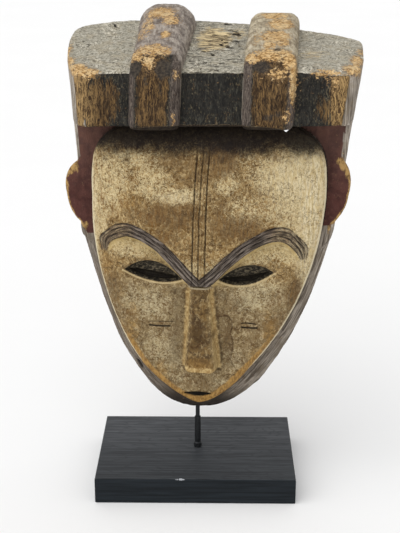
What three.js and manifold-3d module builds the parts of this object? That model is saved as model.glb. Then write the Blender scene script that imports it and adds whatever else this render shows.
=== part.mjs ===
// A carved wooden face mask on its display stand: a coiffure block with two lengthwise crests,
// flat side ears, a shield-shaped face with brow arcs, almond eyes, a long nose and a small
// mouth, hollowed from behind, and held by a thin rod over a black wooden block.
//
// Millimetres, +Z up. The origin is the middle of the block's underside, and the front is -Y.
// The mask has a frame of its own, turned, leaned and rolled a little on the rod: x = 0 is the
// middle line of the face, y grows towards the back, and the chin is near z = 0.

import * as THREE from 'three';
import { mergeVertices } from 'three/addons/utils/BufferGeometryUtils.js';
import Module from 'manifold-3d';

const wasm = await Module();
wasm.setup();

// Driving dimensions: the stand
const BLOCK = { width: 182, depth: 125, height: 25, edge: 1.2 };
const ROD = { x: 1.5, radius: 2, foot: 9, top: 100, sides: 20 };
const SLEEVE = { bore: 2.35, radius: 2.9, foot: 8, top: 57, collar: 3.7, collarHeight: 5, sides: 24 };
const GAP = 0.35;

// Driving dimensions: the mask
const POSE = { at: [5, 0, 67], leanDeg: -5, rollDeg: 1.3, turnDeg: -5 };
const FACE = { halfWidth: 100, widest: 208, chin: 14.5, top: 276, fall: [1.9, 1.5], topPower: 4 };
const RIM = { halfWidth: 113.5, widest: 208, chin: 2.5, fall: [1.35, 2.15], from: 168 };
const EDGE_PLANE = { y: -27, z: 10, slope: 0.127 };
const BULGE = { forehead: 24, recess: 8 };
const BOARD = { behindEdge: 12, rimBehind: 22, top: 290, slant: 9 };
const BACK = { y: 23.3, x: -1, bow: 0.00019, power: 2.5 };
const ROOF = { front: 318.5, slope: 0.304, twist: 0.00045, edge: 2 };
const COIFFURE = { bottom: 275, frontY: -95, corner: 12, planZ: 325, backCorner: 9 };
const CREST = { proud: 9, bottom: 273, shoulder: 22, overhang: 3 };
const CRESTS = [
  { x: -37.5, backX: -42, half: 21.5, backHalf: 26, height: 12.7, backHeight: 20.5, bevel: 15 },
  { x: 53, backX: 52, half: 21.5, backHalf: 22.5, height: 12, backHeight: 18.5, bevel: 11 },
];
const EAR = {
  inner: 92, belly: 210, bottom: 171, behind: 12, thickness: 15, bevel: 1.6,
  left: { reach: 121, top: 244, shoulder: [5, 236] },
  right: { reach: 123, top: 246, shoulder: [6, 240] },
};
const NOSE = { x: 2, root: 133, tip: 53, rootHalf: 7.8, tipHalf: 13.5, flank: 5, rise: 17, step: 1.6 };
const EYES = [
  { inner: [16, 139.6], outer: [63, 147.5], high: 153.5, low: 136 },
  { inner: [-15.3, 138.6], outer: [-66.5, 144.8], high: 154.5, low: 135.4 },
];
const EYE_DEPTH = { socket: 5, slit: 8 };
const MOUTH = { inner: [-15.2, 24.2], outer: [12.6, 25.2], high: 26.8, low: 22, depth: 3 };
const HOLLOW = {
  halfWidth: 96, widest: 208, chin: 40, top: 283, fall: [1.8, 1.7], topPower: 3, wall: 26, bulge: 30,
};
const LINES = {
  fromTo: [[-6.2, -3.7], [-1.6, 1], [4.2, 5.6]], top: 254, bottom: 142, width: 1.5, depth: 1.3,
};
const BROW_GROOVES = { insets: [1.2, 8.4], width: 1.5, depth: 1.2 };
const PIERCING = { at: [67, -54, 269.5], along: [-0.05, 1, -0.215], radius: 5.2, length: 70 };
const SKEW = { slope: 0.045, from: [120, 200], to: [310, 420] };

// The face and the rim lie a little left of the middle line at the cheeks, and right of it at the top.
const FACE_DRIFT = [[14, 0], [50, -4], [110, -0.5], [165, 2.5], [210, 4], [240, 3.4], [266, 1]];
const RIM_DRIFT = [[4, -3.3], [22, -2.8], [34, -1.3], [62, -1], [105, 0.4], [150, 1]];
// How far the sides of the head reach left and right at each height, above the cheeks' rim
const SIDES = [[168, 107, 109], [180, 109.5, 112], [240, 112, 118.7], [276, 115, 122], [325, 120.5, 127]];
// How the sides draw in towards the front: from this depth on, by this much a square millimetre
const SIDE_BOW = { left: { y: -22, bow: 0.0033 }, right: { y: -45, bow: 0.0013 } };
// The lower edge of the right brow, from the root of the nose to its outer end.
const BROW = [[8.3, 134], [18, 144.2], [28, 155], [38, 165], [50, 173], [60, 176.4], [69, 175.6], [77, 170.5],
  [82.5, 163.5], [85.5, 156]];

// Numbers
const clamp01 = (t) => Math.min(Math.max(t, 0), 1);

function smoothstep(from, to, t) {
  const s = clamp01((t - from) / (to - from));
  return s * s * (3 - 2 * s);
}

function readTable(table, t, column = 1) {
  if (t <= table[0][0]) return table[0][column];
  for (let i = 1; i < table.length; i++) {
    const [from, to] = [table[i - 1], table[i]];
    if (t <= to[0]) return from[column] + ((to[column] - from[column]) * (t - from[0])) / (to[0] - from[0]);
  }
  return table.at(-1)[column];
}

// Outlines and depths of the mask, in its own frame
const faceMiddle = (z) => readTable(FACE_DRIFT, z);
const rimMiddle = (z) => readTable(RIM_DRIFT, z);
const edgeY = (z) => EDGE_PLANE.y - EDGE_PLANE.slope * (z - EDGE_PLANE.z);
const backY = (x) => BACK.y - BACK.bow * Math.abs(x - BACK.x) ** BACK.power;
const roofZ = (x, y) => ROOF.front + (ROOF.slope - ROOF.twist * x) * (y - COIFFURE.frontY);

function shieldHalfWidth({ halfWidth, widest, chin, top, fall, topPower }, z) {
  const [p, q] = fall;
  if (z < widest) return halfWidth * (1 - clamp01((widest - z) / (widest - chin)) ** p) ** (1 / q);
  return halfWidth * (1 - clamp01((z - widest) / (top - widest)) ** topPower) ** (1 / topPower);
}

// The right half of a shield's outline, over its top and then down to its chin.
function shieldSide(shield, steps) {
  const power = 2 / shield.topPower;
  const points = [];
  for (let i = 0; i <= steps; i++) {
    const angle = (Math.PI / 2) * (1 - i / steps);
    const rise = Math.sin(angle) ** power * (shield.top - shield.widest);
    points.push([shield.halfWidth * Math.cos(angle) ** power, shield.widest + rise]);
  }
  return [...points, ...shieldFall(shield, steps * 2)];
}

function shieldFall({ halfWidth, widest, chin, fall: [p, q] }, steps) {
  const points = [];
  for (let i = 1; i <= steps; i++) {
    const angle = (Math.PI / 2) * (i / steps);
    const drop = Math.sin(angle) ** (2 / p) * (widest - chin);
    points.push([halfWidth * Math.cos(angle) ** (2 / q), widest - drop]);
  }
  return points;
}

// The whole outline from its right half, whose first and last points are on the middle line.
function mirrored(side, middle) {
  const right = side.map(([x, z]) => [x + middle(z), z]);
  const left = side.slice(1, -1).reverse().map(([x, z]) => [-x + middle(z), z]);
  return [...right, ...left];
}

// How far the log reaches at depth y and height z, on the side that the sign gives.
function logReach(sign, y, z) {
  const { y: from, bow } = sign > 0 ? SIDE_BOW.right : SIDE_BOW.left;
  return readTable(SIDES, z, sign > 0 ? 2 : 1) - bow * Math.min(y - from, 0) ** 2;
}

const acrossBulge = (u) => Math.max(1 - Math.abs(u) ** 2.5, 0) ** 0.7;
const chinRise = (z) => 1 - (1 - clamp01((z - FACE.chin + 1) / 150)) ** 2;
const topFall = (z) => (1 - clamp01((z - 215) / (FACE.top - 215)) ** 2.5) ** 0.6;
const acrossFace = (x, z) => Math.min(Math.abs(x - faceMiddle(z)) / Math.max(shieldHalfWidth(FACE, z), 1), 1);

function foreheadY(x, z) {
  return edgeY(z) - BULGE.forehead * acrossBulge(acrossFace(x, z)) * chinRise(z) * topFall(z);
}

function cheekY(x, z) {
  const inward = 1 - smoothstep(0.5, 0.95, acrossFace(x, z));
  return foreheadY(x, z) + BULGE.recess * inward * smoothstep(20, 75, z);
}

function skewed(x, z) {
  const { slope, from, to } = SKEW;
  return z + slope * x * smoothstep(...from, z) * (1 - smoothstep(...to, z));
}

// Solids
function closedGeometry(vertices, triangles) {
  const geometry = new THREE.BufferGeometry();
  geometry.setAttribute('position', new THREE.Float32BufferAttribute(vertices.flat(), 3));
  geometry.setIndex(triangles);
  if (signedVolume(geometry) < 0) {
    for (let i = 0; i < triangles.length; i += 3) {
      [triangles[i], triangles[i + 1]] = [triangles[i + 1], triangles[i]];
    }
    geometry.setIndex(triangles);
  }
  return geometry;
}

function signedVolume(geometry) {
  const position = geometry.attributes.position;
  const corners = [new THREE.Vector3(), new THREE.Vector3(), new THREE.Vector3()];
  let six = 0;
  for (let i = 0; i < geometry.index.count; i += 3) {
    corners.forEach((corner, k) => corner.fromBufferAttribute(position, geometry.index.getX(i + k)));
    six += corners[0].dot(corners[1].cross(corners[2]));
  }
  return six / 6;
}

// A closed skin through rings of equal length, with a fan over the first and the last one.
function loft(rings) {
  const n = rings[0].length;
  const vertices = rings.flat();
  const triangles = [];
  for (let r = 0; r + 1 < rings.length; r++) {
    for (let i = 0; i < n; i++) {
      const a = r * n + i;
      const b = r * n + ((i + 1) % n);
      triangles.push(a, b, a + n, b, b + n, a + n);
    }
  }
  const caps = [[rings[0], 0, true], [rings.at(-1), (rings.length - 1) * n, false]];
  for (const [ring, start, flipped] of caps) {
    const middle = [0, 1, 2].map((k) => ring.reduce((sum, p) => sum + p[k], 0) / n);
    vertices.push(middle);
    for (let i = 0; i < n; i++) {
      const edge = [start + i, start + ((i + 1) % n)];
      if (flipped) edge.reverse();
      triangles.push(vertices.length - 1, ...edge);
    }
  }
  return closedGeometry(vertices, triangles);
}

function solid(geometry) {
  const bare = geometry.clone();
  bare.deleteAttribute('normal');
  bare.deleteAttribute('uv');
  const merged = mergeVertices(bare, 1e-4);
  return new wasm.Manifold(new wasm.Mesh({
    numProp: 3,
    vertProperties: new Float32Array(merged.attributes.position.array),
    triVerts: new Uint32Array(merged.index.array),
  }));
}

function geometryOf(manifold) {
  const mesh = manifold.getMesh();
  const geometry = new THREE.BufferGeometry();
  geometry.setAttribute('position', new THREE.BufferAttribute(mesh.vertProperties, 3));
  geometry.setIndex(new THREE.BufferAttribute(mesh.triVerts, 1));
  return geometry;
}

// A shape drawn in x and z, carried from y = back forwards to y = front.
function prism(shape, back, front) {
  const sizes = { depth: back - front, bevelEnabled: false, curveSegments: 10 };
  const geometry = new THREE.ExtrudeGeometry(shape, sizes);
  const axes = [new THREE.Vector3(1, 0, 0), new THREE.Vector3(0, 0, 1), new THREE.Vector3(0, -1, 0)];
  geometry.applyMatrix4(new THREE.Matrix4().makeBasis(...axes).setPosition(0, back, 0));
  return solid(geometry);
}

// All that is in front of the surface y = depth(x, z), within a rectangle of x and z.
function inFrontOf(depth, [x0, x1, columns], [z0, z1, rows]) {
  const far = -150;
  const geometry = new THREE.BoxGeometry(x1 - x0, 2, z1 - z0, columns, 1, rows);
  geometry.translate((x0 + x1) / 2, 0, (z0 + z1) / 2);
  const position = geometry.attributes.position;
  for (let i = 0; i < position.count; i++) {
    const [x, y, z] = [position.getX(i), position.getY(i), position.getZ(i)];
    position.setY(i, y > 0 ? depth(x, z) : far);
  }
  return solid(geometry);
}

// A lens between two arcs that meet at its ends, at height high and low halfway.
function lens({ inner: [x0, z0], outer: [x1, z1], high, low }) {
  const control = (z) => 2 * z - (z0 + z1) / 2;
  const shape = new THREE.Shape();
  shape.moveTo(x0, z0);
  shape.quadraticCurveTo((x0 + x1) / 2, control(high), x1, z1);
  shape.quadraticCurveTo((x0 + x1) / 2, control(low), x0, z0);
  return shape;
}

// The face: a domed shield with the part under the brows cut back, and the nose on it
function faceShield() {
  const outline = mirrored(shieldSide(FACE, 8), faceMiddle);
  const centre = [2, 165];
  const ring = (scale, depth) => outline.map(([x, z]) => {
    const [px, pz] = [centre[0] + scale * (x - centre[0]), centre[1] + scale * (z - centre[1])];
    return [px, depth(px, pz), pz];
  });
  const behind = (distance) => (x, z) => edgeY(z) + distance;
  const inward = [0.97, 0.93, 0.86, 0.76, 0.63, 0.48, 0.32, 0.15];
  return solid(loft([
    ring(0.95, behind(BOARD.behindEdge + 6)),
    ring(0.985, behind(6)),
    ring(1, behind(3)),
    ring(1, behind(1)),
    ring(0.99, behind(-0.6)),
    ...inward.map((scale) => ring(scale, foreheadY)),
  ]));
}

function recessShape() {
  const right = BROW.map(([x, z]) => new THREE.Vector2(x, z));
  const left = right.map((p) => new THREE.Vector2(-p.x, p.y)).reverse();
  const shape = new THREE.Shape();
  shape.moveTo(left.at(-1).x, left.at(-1).y);
  shape.lineTo(right[0].x, right[0].y);
  shape.splineThru(right.slice(1));
  shape.lineTo(130, 150);
  shape.lineTo(130, -20);
  shape.lineTo(-130, -20);
  shape.lineTo(-130, 150);
  shape.lineTo(left[0].x, left[0].y);
  shape.splineThru(left.slice(1));
  return shape;
}

function nose() {
  const rows = 7;
  const rings = [];
  const rootY = foreheadY(0, NOSE.root) + NOSE.step;
  const tipY = cheekY(0, NOSE.tip + 8) - NOSE.rise;
  for (let i = 0; i <= rows; i++) {
    const t = i / rows;
    const z = NOSE.root + 1 - t * (NOSE.root + 1 - NOSE.tip);
    const half = NOSE.rootHalf + (NOSE.tipHalf - NOSE.rootHalf) * t ** 1.3;
    const front = rootY + (tipY - rootY) * t + 1.5 * Math.sin(Math.PI * t);
    const base = cheekY(0, z) + 3;
    const tuck = t === 1 ? 1.5 : 0;
    const flank = NOSE.flank * (1 - 0.2 * t);
    rings.push([
      [half + flank, base], [half, front + 2.2], [half - 2.5, front + tuck],
      [-half + 2.5, front + tuck], [-half, front + 2.2], [-half - flank, base],
      [-half, base + 4], [half, base + 4],
    ].map(([x, y]) => [x + NOSE.x * t, y, z]));
  }
  return solid(loft(rings));
}

// A blade that cuts a groove of this width and depth into the forehead, along points of x and z.
function blade(points, { width, depth }) {
  const rings = points.map(([x, z], i) => {
    const [from, to] = [points[Math.max(i - 1, 0)], points[Math.min(i + 1, points.length - 1)]];
    const along = new THREE.Vector2(to[0] - from[0], to[1] - from[1]).normalize();
    const edge = (across) => [x - along.y * across, z + along.x * across];
    const [left, right] = [edge(-width / 2), edge(width / 2)];
    const floor = ([px, pz]) => [px, foreheadY(px, pz) + depth, pz];
    const front = ([px, pz]) => [px, -120, pz];
    return [floor(left), floor(right), front(right), front(left)];
  });
  return solid(loft(rings));
}

// A line along the brow, at a distance above its lower edge.
function browGroove(inset, side) {
  const curve = new THREE.SplineCurve(BROW.map(([x, z]) => new THREE.Vector2(x, z)));
  const points = curve.getPoints(14).map((point, i) => {
    const along = curve.getTangent(i / 14);
    return [side * (point.x - along.y * inset), point.y + along.x * inset];
  });
  return blade(points, BROW_GROOVES);
}

function foreheadLine([bottomX, topX]) {
  const steps = 8;
  const points = [];
  for (let i = 0; i <= steps; i++) {
    const share = i / steps;
    points.push([bottomX + (topX - bottomX) * share, LINES.bottom + (LINES.top - LINES.bottom) * share]);
  }
  return blade(points, LINES);
}

// The darker cut along the lower part of an eye
function slit({ inner, outer, low }) {
  const inwards = (from, to) => [from[0] + 0.14 * (to[0] - from[0]), from[1] + 0.1 * (to[1] - from[1])];
  return lens({ inner: inwards(inner, outer), outer: inwards(outer, inner), high: low + 6, low: low + 1 });
}

function face() {
  const cheeks = inFrontOf(cheekY, [-125, 125, 25], [-5, 200, 20]).intersect(prism(recessShape(), 30, -140));
  let carved = faceShield().subtract(cheeks).add(nose());
  const cuts = [[MOUTH, lens(MOUTH), MOUTH.depth]];
  for (const eye of EYES) cuts.push([eye, lens(eye), EYE_DEPTH.socket], [eye, slit(eye), EYE_DEPTH.slit]);
  for (const [{ inner, outer, high, low }, shape, depth] of cuts) {
    const across = [Math.min(inner[0], outer[0]) - 3, Math.max(inner[0], outer[0]) + 3, 6];
    const cutter = inFrontOf((x, z) => cheekY(x, z) + depth, across, [low - 5, high + 5, 2]);
    carved = carved.subtract(cutter.intersect(prism(shape, 30, -140)));
  }
  for (const ends of LINES.fromTo) carved = carved.subtract(foreheadLine(ends));
  for (const inset of BROW_GROOVES.insets) {
    for (const side of [1, -1]) carved = carved.subtract(browGroove(inset, side));
  }
  return carved;
}

// The head behind the face: a flat board at the top, and a sloping rim round the cheeks and chin
function headOutline(y, slant) {
  const steps = 7;
  const levels = [];
  for (let i = 0; i < steps; i++) levels.push(BOARD.top + ((RIM.from - BOARD.top) * i) / (steps - 1));
  const reach = (sign, z) => logReach(sign, y(sign * 110, z), z);
  const side = (sign) => levels.map((z) => [sign * reach(sign, z), z]);
  const fall = shieldFall(RIM, 16).filter(([, z]) => z < RIM.from - 4);
  const right = fall.map(([x, z]) => [rimMiddle(z) + x, z]);
  const left = fall.slice(0, -1).reverse().map(([x, z]) => [rimMiddle(z) - x, z]);
  const outline = [[0, BOARD.top], ...side(1), ...right, ...left, ...side(-1).reverse()];
  return outline.map(([x, z]) => {
    const scale = 1 - (slant * (1 - smoothstep(RIM.from, RIM.from + 15, z))) / RIM.halfWidth;
    const height = z < RIM.widest ? RIM.widest + (z - RIM.widest) * scale : z;
    return [x * scale, y(x * scale, height), height];
  });
}

function head() {
  const behind = (distance) => (x, z) => edgeY(z) + distance;
  const towardsBack = (share) => (x, z) => {
    const start = edgeY(z) + BOARD.rimBehind;
    return start + (backY(x) - start) * share;
  };
  return solid(loft([
    headOutline(behind(BOARD.behindEdge), BOARD.slant),
    headOutline(behind(BOARD.rimBehind - 2), 0.7),
    headOutline(behind(BOARD.rimBehind), 0),
    headOutline(towardsBack(0.5), 0),
    headOutline(towardsBack(1), 0.5),
    headOutline(towardsBack(1), 60),
  ]));
}

function ear(side) {
  const { reach, top, shoulder: [proud, height] } = side > 0 ? EAR.right : EAR.left;
  const shape = new THREE.Shape();
  shape.moveTo(EAR.inner, EAR.bottom);
  shape.quadraticCurveTo(reach - 2, EAR.belly - 24, reach, EAR.belly);
  shape.quadraticCurveTo(reach + proud, height, EAR.inner + 12, top);
  shape.lineTo(EAR.inner, top);
  const geometry = new THREE.ExtrudeGeometry(shape, {
    depth: EAR.thickness - 2 * EAR.bevel, curveSegments: 8,
    bevelSize: EAR.bevel, bevelThickness: EAR.bevel, bevelOffset: -EAR.bevel, bevelSegments: 1,
  });
  const axes = [new THREE.Vector3(1, 0, 0), new THREE.Vector3(0, 0, 1), new THREE.Vector3(0, -1, 0)];
  geometry.applyMatrix4(new THREE.Matrix4().makeBasis(...axes));
  geometry.translate(0, EAR.behind + EAR.thickness - EAR.bevel, 0);
  const position = geometry.attributes.position;
  for (let i = 0; i < position.count; i++) position.setY(i, position.getY(i) + edgeY(position.getZ(i)));
  const right = solid(geometry);
  return side > 0 ? right : right.mirror([1, 0, 0]);
}

// The coiffure: a block with a roof that rises to the back, and a rounded bar over it on each side
function coiffurePlan() {
  const { frontY, corner, backCorner } = COIFFURE;
  const side = (sign) => {
    const reach = (y) => logReach(sign, y, COIFFURE.planZ);
    const end = backY(sign * reach(0)) - backCorner;
    const points = [];
    for (let i = 0; i <= 4; i++) {
      const angle = (Math.PI / 2) * (i / 4);
      const y = frontY + corner * (1 - Math.cos(angle));
      points.push([sign * (reach(y) - corner * (1 - Math.sin(angle))), y]);
    }
    for (const share of [0.33, 0.66, 1]) {
      const y = frontY + corner + (end - frontY - corner) * share;
      points.push([sign * reach(y), y]);
    }
    points.push([sign * (reach(0) - 0.3 * backCorner), end + 0.7 * backCorner]);
    for (const share of [0.92, 0.75, 0.5, 0.25]) {
      const x = sign * reach(0) * share;
      points.push([x, backY(x)]);
    }
    return points;
  };
  return [[0, frontY], ...side(1), [0, backY(0)], ...side(-1).reverse()];
}

function coiffureBlock() {
  const plan = coiffurePlan();
  const ring = (zOf, inset) => plan.map(([x, y]) => {
    const z = zOf(x, y);
    const sign = x < 0 ? -1 : 1;
    const taper = logReach(sign, 0, z) / logReach(sign, 0, COIFFURE.planZ);
    return [x * taper * (1 - inset / 120), y + (y < -40 ? inset : 0), z];
  });
  return solid(loft([
    ring(() => COIFFURE.bottom, ROOF.edge),
    ring(() => COIFFURE.bottom + ROOF.edge, 0),
    ring((x, y) => roofZ(x, y) - ROOF.edge, 0),
    ring((x, y) => roofZ(x, y), ROOF.edge),
  ]));
}

function crest({ x, backX, half, backHalf, height, backHeight, bevel }) {
  const { proud, bottom, shoulder, overhang } = CREST;
  const end = backY(backX) + overhang;
  const along = (y) => clamp01((y - COIFFURE.frontY) / (end - COIFFURE.frontY));
  const front = COIFFURE.frontY - proud + bevel;
  const top = (y) => roofZ(x, y) + height + (backHeight - height) * along(y) - bevel;
  const shape = new THREE.Shape();
  shape.moveTo(front, bottom + bevel);
  shape.lineTo(front, top(front) - shoulder);
  shape.quadraticCurveTo(front, top(front) - 2, front + shoulder, top(front + shoulder));
  shape.lineTo(end - bevel - 14, top(end - bevel - 14));
  shape.quadraticCurveTo(end - bevel, top(end - bevel), end - bevel, top(end) - 14);
  shape.lineTo(end - bevel, roofZ(x, end) - 20);
  shape.lineTo(COIFFURE.frontY + 24, ROOF.front - 16);
  shape.lineTo(COIFFURE.frontY + 24, bottom + bevel);
  const geometry = new THREE.ExtrudeGeometry(shape, {
    depth: 2 * (half - bevel), curveSegments: 6, bevelSize: bevel, bevelThickness: bevel, bevelSegments: 4,
  });
  const axes = [new THREE.Vector3(0, 1, 0), new THREE.Vector3(0, 0, 1), new THREE.Vector3(1, 0, 0)];
  geometry.applyMatrix4(new THREE.Matrix4().makeBasis(...axes));
  const position = geometry.attributes.position;
  for (let i = 0; i < position.count; i++) {
    const share = along(position.getY(i));
    const widening = 1 + (backHalf / half - 1) * share;
    position.setX(i, (position.getX(i) - (half - bevel)) * widening + x + (backX - x) * share);
  }
  return solid(geometry);
}

// The inside: a shallow bowl open at the back
function hollow() {
  const outline = mirrored(shieldSide(HOLLOW, 6), faceMiddle);
  const centre = [2, 165];
  const inside = (x, z) => {
    const u = Math.min(Math.abs(x - faceMiddle(z)) / Math.max(shieldHalfWidth(HOLLOW, z), 1), 1);
    return edgeY(z) + HOLLOW.wall - HOLLOW.bulge * acrossBulge(u) * chinRise(z) * topFall(z + 4);
  };
  const ring = (scale, depth) => outline.map(([x, z]) => {
    const [px, pz] = [centre[0] + scale * (x - centre[0]), centre[1] + scale * (z - centre[1])];
    return [px, depth(px, pz), pz];
  });
  return solid(loft([
    ring(1.03, () => BACK.y + 6),
    ring(1, () => BACK.y - 34),
    ring(0.99, (x, z) => edgeY(z) + HOLLOW.wall + 6),
    ...[0.95, 0.86, 0.72, 0.52, 0.28].map((scale) => ring(scale, inside)),
  ]));
}

function piercing() {
  const { at, along, radius, length } = PIERCING;
  const geometry = new THREE.CylinderGeometry(radius, radius, length, 4);
  const turn = new THREE.Quaternion().setFromUnitVectors(
    new THREE.Vector3(0, 1, 0), new THREE.Vector3(...along).normalize(),
  );
  geometry.applyQuaternion(turn).translate(...at);
  return solid(geometry);
}

// Everything in place
function standing(geometry, x = ROD.x) {
  return geometry.rotateX(Math.PI / 2).translate(x, 0, 0);
}

function rodCylinder(radius, bottom, top, sides) {
  const height = top - bottom;
  return standing(new THREE.CylinderGeometry(radius, radius, height, sides).translate(0, bottom + height / 2, 0));
}

function maskGeometry(pose) {
  let carved = head().add(face()).add(coiffureBlock()).add(ear(1)).add(ear(-1));
  for (const one of CRESTS) carved = carved.add(crest(one));
  carved = carved.subtract(hollow()).subtract(piercing());
  const whole = geometryOf(carved);
  const position = whole.attributes.position;
  for (let i = 0; i < position.count; i++) {
    position.setZ(i, skewed(position.getX(i), position.getZ(i)));
  }
  const socket = rodCylinder(ROD.radius + GAP, ROD.foot, ROD.top + GAP, ROD.sides);
  socket.applyMatrix4(pose.matrix.clone().invert());
  return geometryOf(solid(whole).subtract(solid(socket)));
}

function blockGeometry() {
  const { width, depth, height, edge } = BLOCK;
  const shape = new THREE.Shape();
  const [x, y] = [width / 2 - edge, depth / 2 - edge];
  shape.moveTo(-x, -y).lineTo(x, -y).lineTo(x, y).lineTo(-x, y);
  const block = new THREE.ExtrudeGeometry(shape, {
    depth: height - 2 * edge, bevelSize: edge, bevelThickness: edge, bevelSegments: 2,
  }).translate(0, 0, edge);
  const socket = rodCylinder(SLEEVE.radius + GAP, SLEEVE.foot - GAP, height + 5, SLEEVE.sides);
  return geometryOf(solid(block).subtract(solid(socket)));
}

function sleeveGeometry() {
  const { bore, radius, foot, top, collar, collarHeight, sides } = SLEEVE;
  const shelf = BLOCK.height + GAP;
  const profile = [
    [bore, foot], [radius, foot], [radius, shelf], [collar, shelf], [collar, shelf + collarHeight - 0.7],
    [collar - 0.7, shelf + collarHeight], [radius, shelf + collarHeight], [radius, top - 0.3],
    [radius - 0.3, top], [bore, top], [bore, foot],
  ];
  return standing(new THREE.LatheGeometry(profile.map(([r, z]) => new THREE.Vector2(r, z)), sides));
}

function rodGeometry() {
  const { radius, foot, top, sides } = ROD;
  const profile = [
    [0, foot], [radius - 0.4, foot], [radius, foot + 0.4], [radius, top - 0.6], [radius - 0.6, top], [0, top],
  ];
  return standing(new THREE.LatheGeometry(profile.map(([r, z]) => new THREE.Vector2(r, z)), sides));
}

function piece(name, geometry, colour, roughness, metalness) {
  const color = new THREE.Color(...colour);
  const material = new THREE.MeshStandardMaterial({ color, roughness, metalness });
  const mesh = new THREE.Mesh(geometry, material);
  mesh.name = name;
  return mesh;
}

const mask = new THREE.Group();
mask.rotation.set(...[POSE.leanDeg, POSE.rollDeg, POSE.turnDeg].map(THREE.MathUtils.degToRad), 'ZXY');
mask.position.set(...POSE.at);
mask.updateMatrix();
mask.add(piece('mask', maskGeometry(mask), [0.42, 0.33, 0.2], 0.75, 0));

const stand = new THREE.Group();
stand.add(piece('stand_block', blockGeometry(), [0.05, 0.05, 0.055], 0.6, 0));
stand.add(piece('stand_sleeve', sleeveGeometry(), [0.02, 0.022, 0.025], 0.45, 0.8));
stand.add(piece('stand_rod', rodGeometry(), [0.03, 0.03, 0.03], 0.5, 0.8));

const whole = new THREE.Group();
whole.add(mask, stand);
export default whole;
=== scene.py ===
"""A carved wooden face mask on a display stand, dressed over its solids.

The mask is carved again here as one finer mesh with the same named sizes as the solids: first
as a distance in its own frame (millimetres, x from the middle line of the face, y to the back,
z up from the chin), then as a mesh that is drawn onto that surface and worn by noise.
"""
import math

import bmesh
import bpy
import numpy as np
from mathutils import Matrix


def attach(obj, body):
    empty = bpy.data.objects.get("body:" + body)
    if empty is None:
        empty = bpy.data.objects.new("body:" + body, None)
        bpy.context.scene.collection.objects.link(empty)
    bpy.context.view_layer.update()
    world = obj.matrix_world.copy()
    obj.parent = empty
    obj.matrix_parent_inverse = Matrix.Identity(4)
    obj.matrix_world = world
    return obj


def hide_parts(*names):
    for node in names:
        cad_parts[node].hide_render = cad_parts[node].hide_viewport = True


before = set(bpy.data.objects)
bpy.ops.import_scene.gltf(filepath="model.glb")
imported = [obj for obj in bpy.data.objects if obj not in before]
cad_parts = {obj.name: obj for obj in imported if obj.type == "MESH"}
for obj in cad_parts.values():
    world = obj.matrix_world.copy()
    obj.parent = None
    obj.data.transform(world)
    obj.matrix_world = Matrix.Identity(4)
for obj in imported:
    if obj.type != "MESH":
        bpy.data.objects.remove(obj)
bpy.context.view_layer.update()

import openvdb
from mathutils import Matrix, Vector

MM = 0.001

# The camera, from the photograph's framing
IMAGE = (400, 533)
FOCAL_PIXELS = 1100
SENSOR = 36
CAMERA = {"at": (0.0154, -0.937, 0.532), "down": 19.15, "turn": 0.72}

# The light and the ground
KEY = {"from": (-0.6, -0.75, 0.95), "softness": 75, "strength": 1.75}
SKY = 0.78
FLOOR_REACH = 60

# Sizes of the carving, as in the solids. "true" is what a slant leaves of a straight distance to it
POSE = {"at": (5, 0, 67), "lean": -5, "roll": 1.3, "turn": -5}
FACE = {"half": 100, "widest": 208, "chin": 14.5, "top": 276, "fall": (1.9, 1.5), "top_power": 4}
RIM = {"half": 113.5, "widest": 208, "chin": 2.5, "top": 290, "fall": (1.35, 2.15), "top_power": 4}
RIM_FROM = 168
EDGE = {"y": -27, "z": 10, "slope": 0.127}
BULGE = 24
DOME_TOP = {"face": 215.0, "hollow": 211.0}
RECESS = 8
BOARD = {"behind": 12, "top": 290, "slant": 9}
BACK = {"y": 23.3, "x": -1, "bow": 0.00019, "power": 2.5, "true": 0.93}
ROOF = {"front": 318.5, "slope": 0.304, "twist": 0.00045, "true": 0.955}
COIFFURE = {"bottom": 275, "front": -95, "corner": 12, "back_corner": 9}
CREST = {"proud": 9, "bottom": 273, "shoulder": 22, "overhang": 3}
CRESTS = (
    {"x": -37.5, "back_x": -42, "half": 21.5, "back_half": 26, "height": 12.7, "back_height": 20.5,
     "round": 12, "back_round": 19},
    {"x": 53, "back_x": 52, "half": 21.5, "back_half": 22.5, "height": 12, "back_height": 18.5,
     "round": 9, "back_round": 11},
)
EAR = {"inner": 92, "belly": 210, "bottom": 171, "behind": 12, "thickness": 15}
EARS = {
    -1: {"reach": 121, "top": 244, "shoulder": (5, 236)},
    1: {"reach": 123, "top": 246, "shoulder": (6, 240)},
}
NOSE = {"x": 2, "root": 133, "tip": 53, "root_half": 7.8, "tip_half": 13.5, "flank": 5, "rise": 17,
        "step": 1.6}
EYES = (
    {"inner": (16, 139.6), "outer": (63, 147.5), "high": 153.5, "low": 136},
    {"inner": (-15.3, 138.6), "outer": (-66.5, 144.8), "high": 154.5, "low": 135.4},
)
DEPTHS = {"socket": 5.2, "slit": 2.4, "mouth": 3.2}
MOUTH = {"inner": (-15.2, 24.2), "outer": (12.6, 25.2), "high": 26.8, "low": 22}
HOLLOW = {"half": 96, "widest": 208, "chin": 40, "top": 283, "fall": (1.8, 1.7), "top_power": 3}
WALL = {"thickness": 26, "bulge": 30}
PIERCING = {"at": (67, -54, 269.5), "along": (-0.05, 1, -0.215), "radius": 4.6}
SKEW = {"slope": 0.045, "from": (120, 200), "to": (310, 420)}
FACE_DRIFT = ((14, 50, 110, 165, 210, 240, 266), (0, -4, -0.5, 2.5, 4, 3.4, 1))
RIM_DRIFT = ((4, 22, 34, 62, 105, 150), (-3.3, -2.8, -1.3, -1, 0.4, 1))
SIDES = {"z": (168, 180, 240, 276, 325), "left": (107, 109.5, 112, 115, 120.5),
         "right": (109, 112, 118.7, 122, 127)}
SIDE_BOW = {"left": (-22, 0.0033), "right": (-45, 0.0013)}
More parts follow.
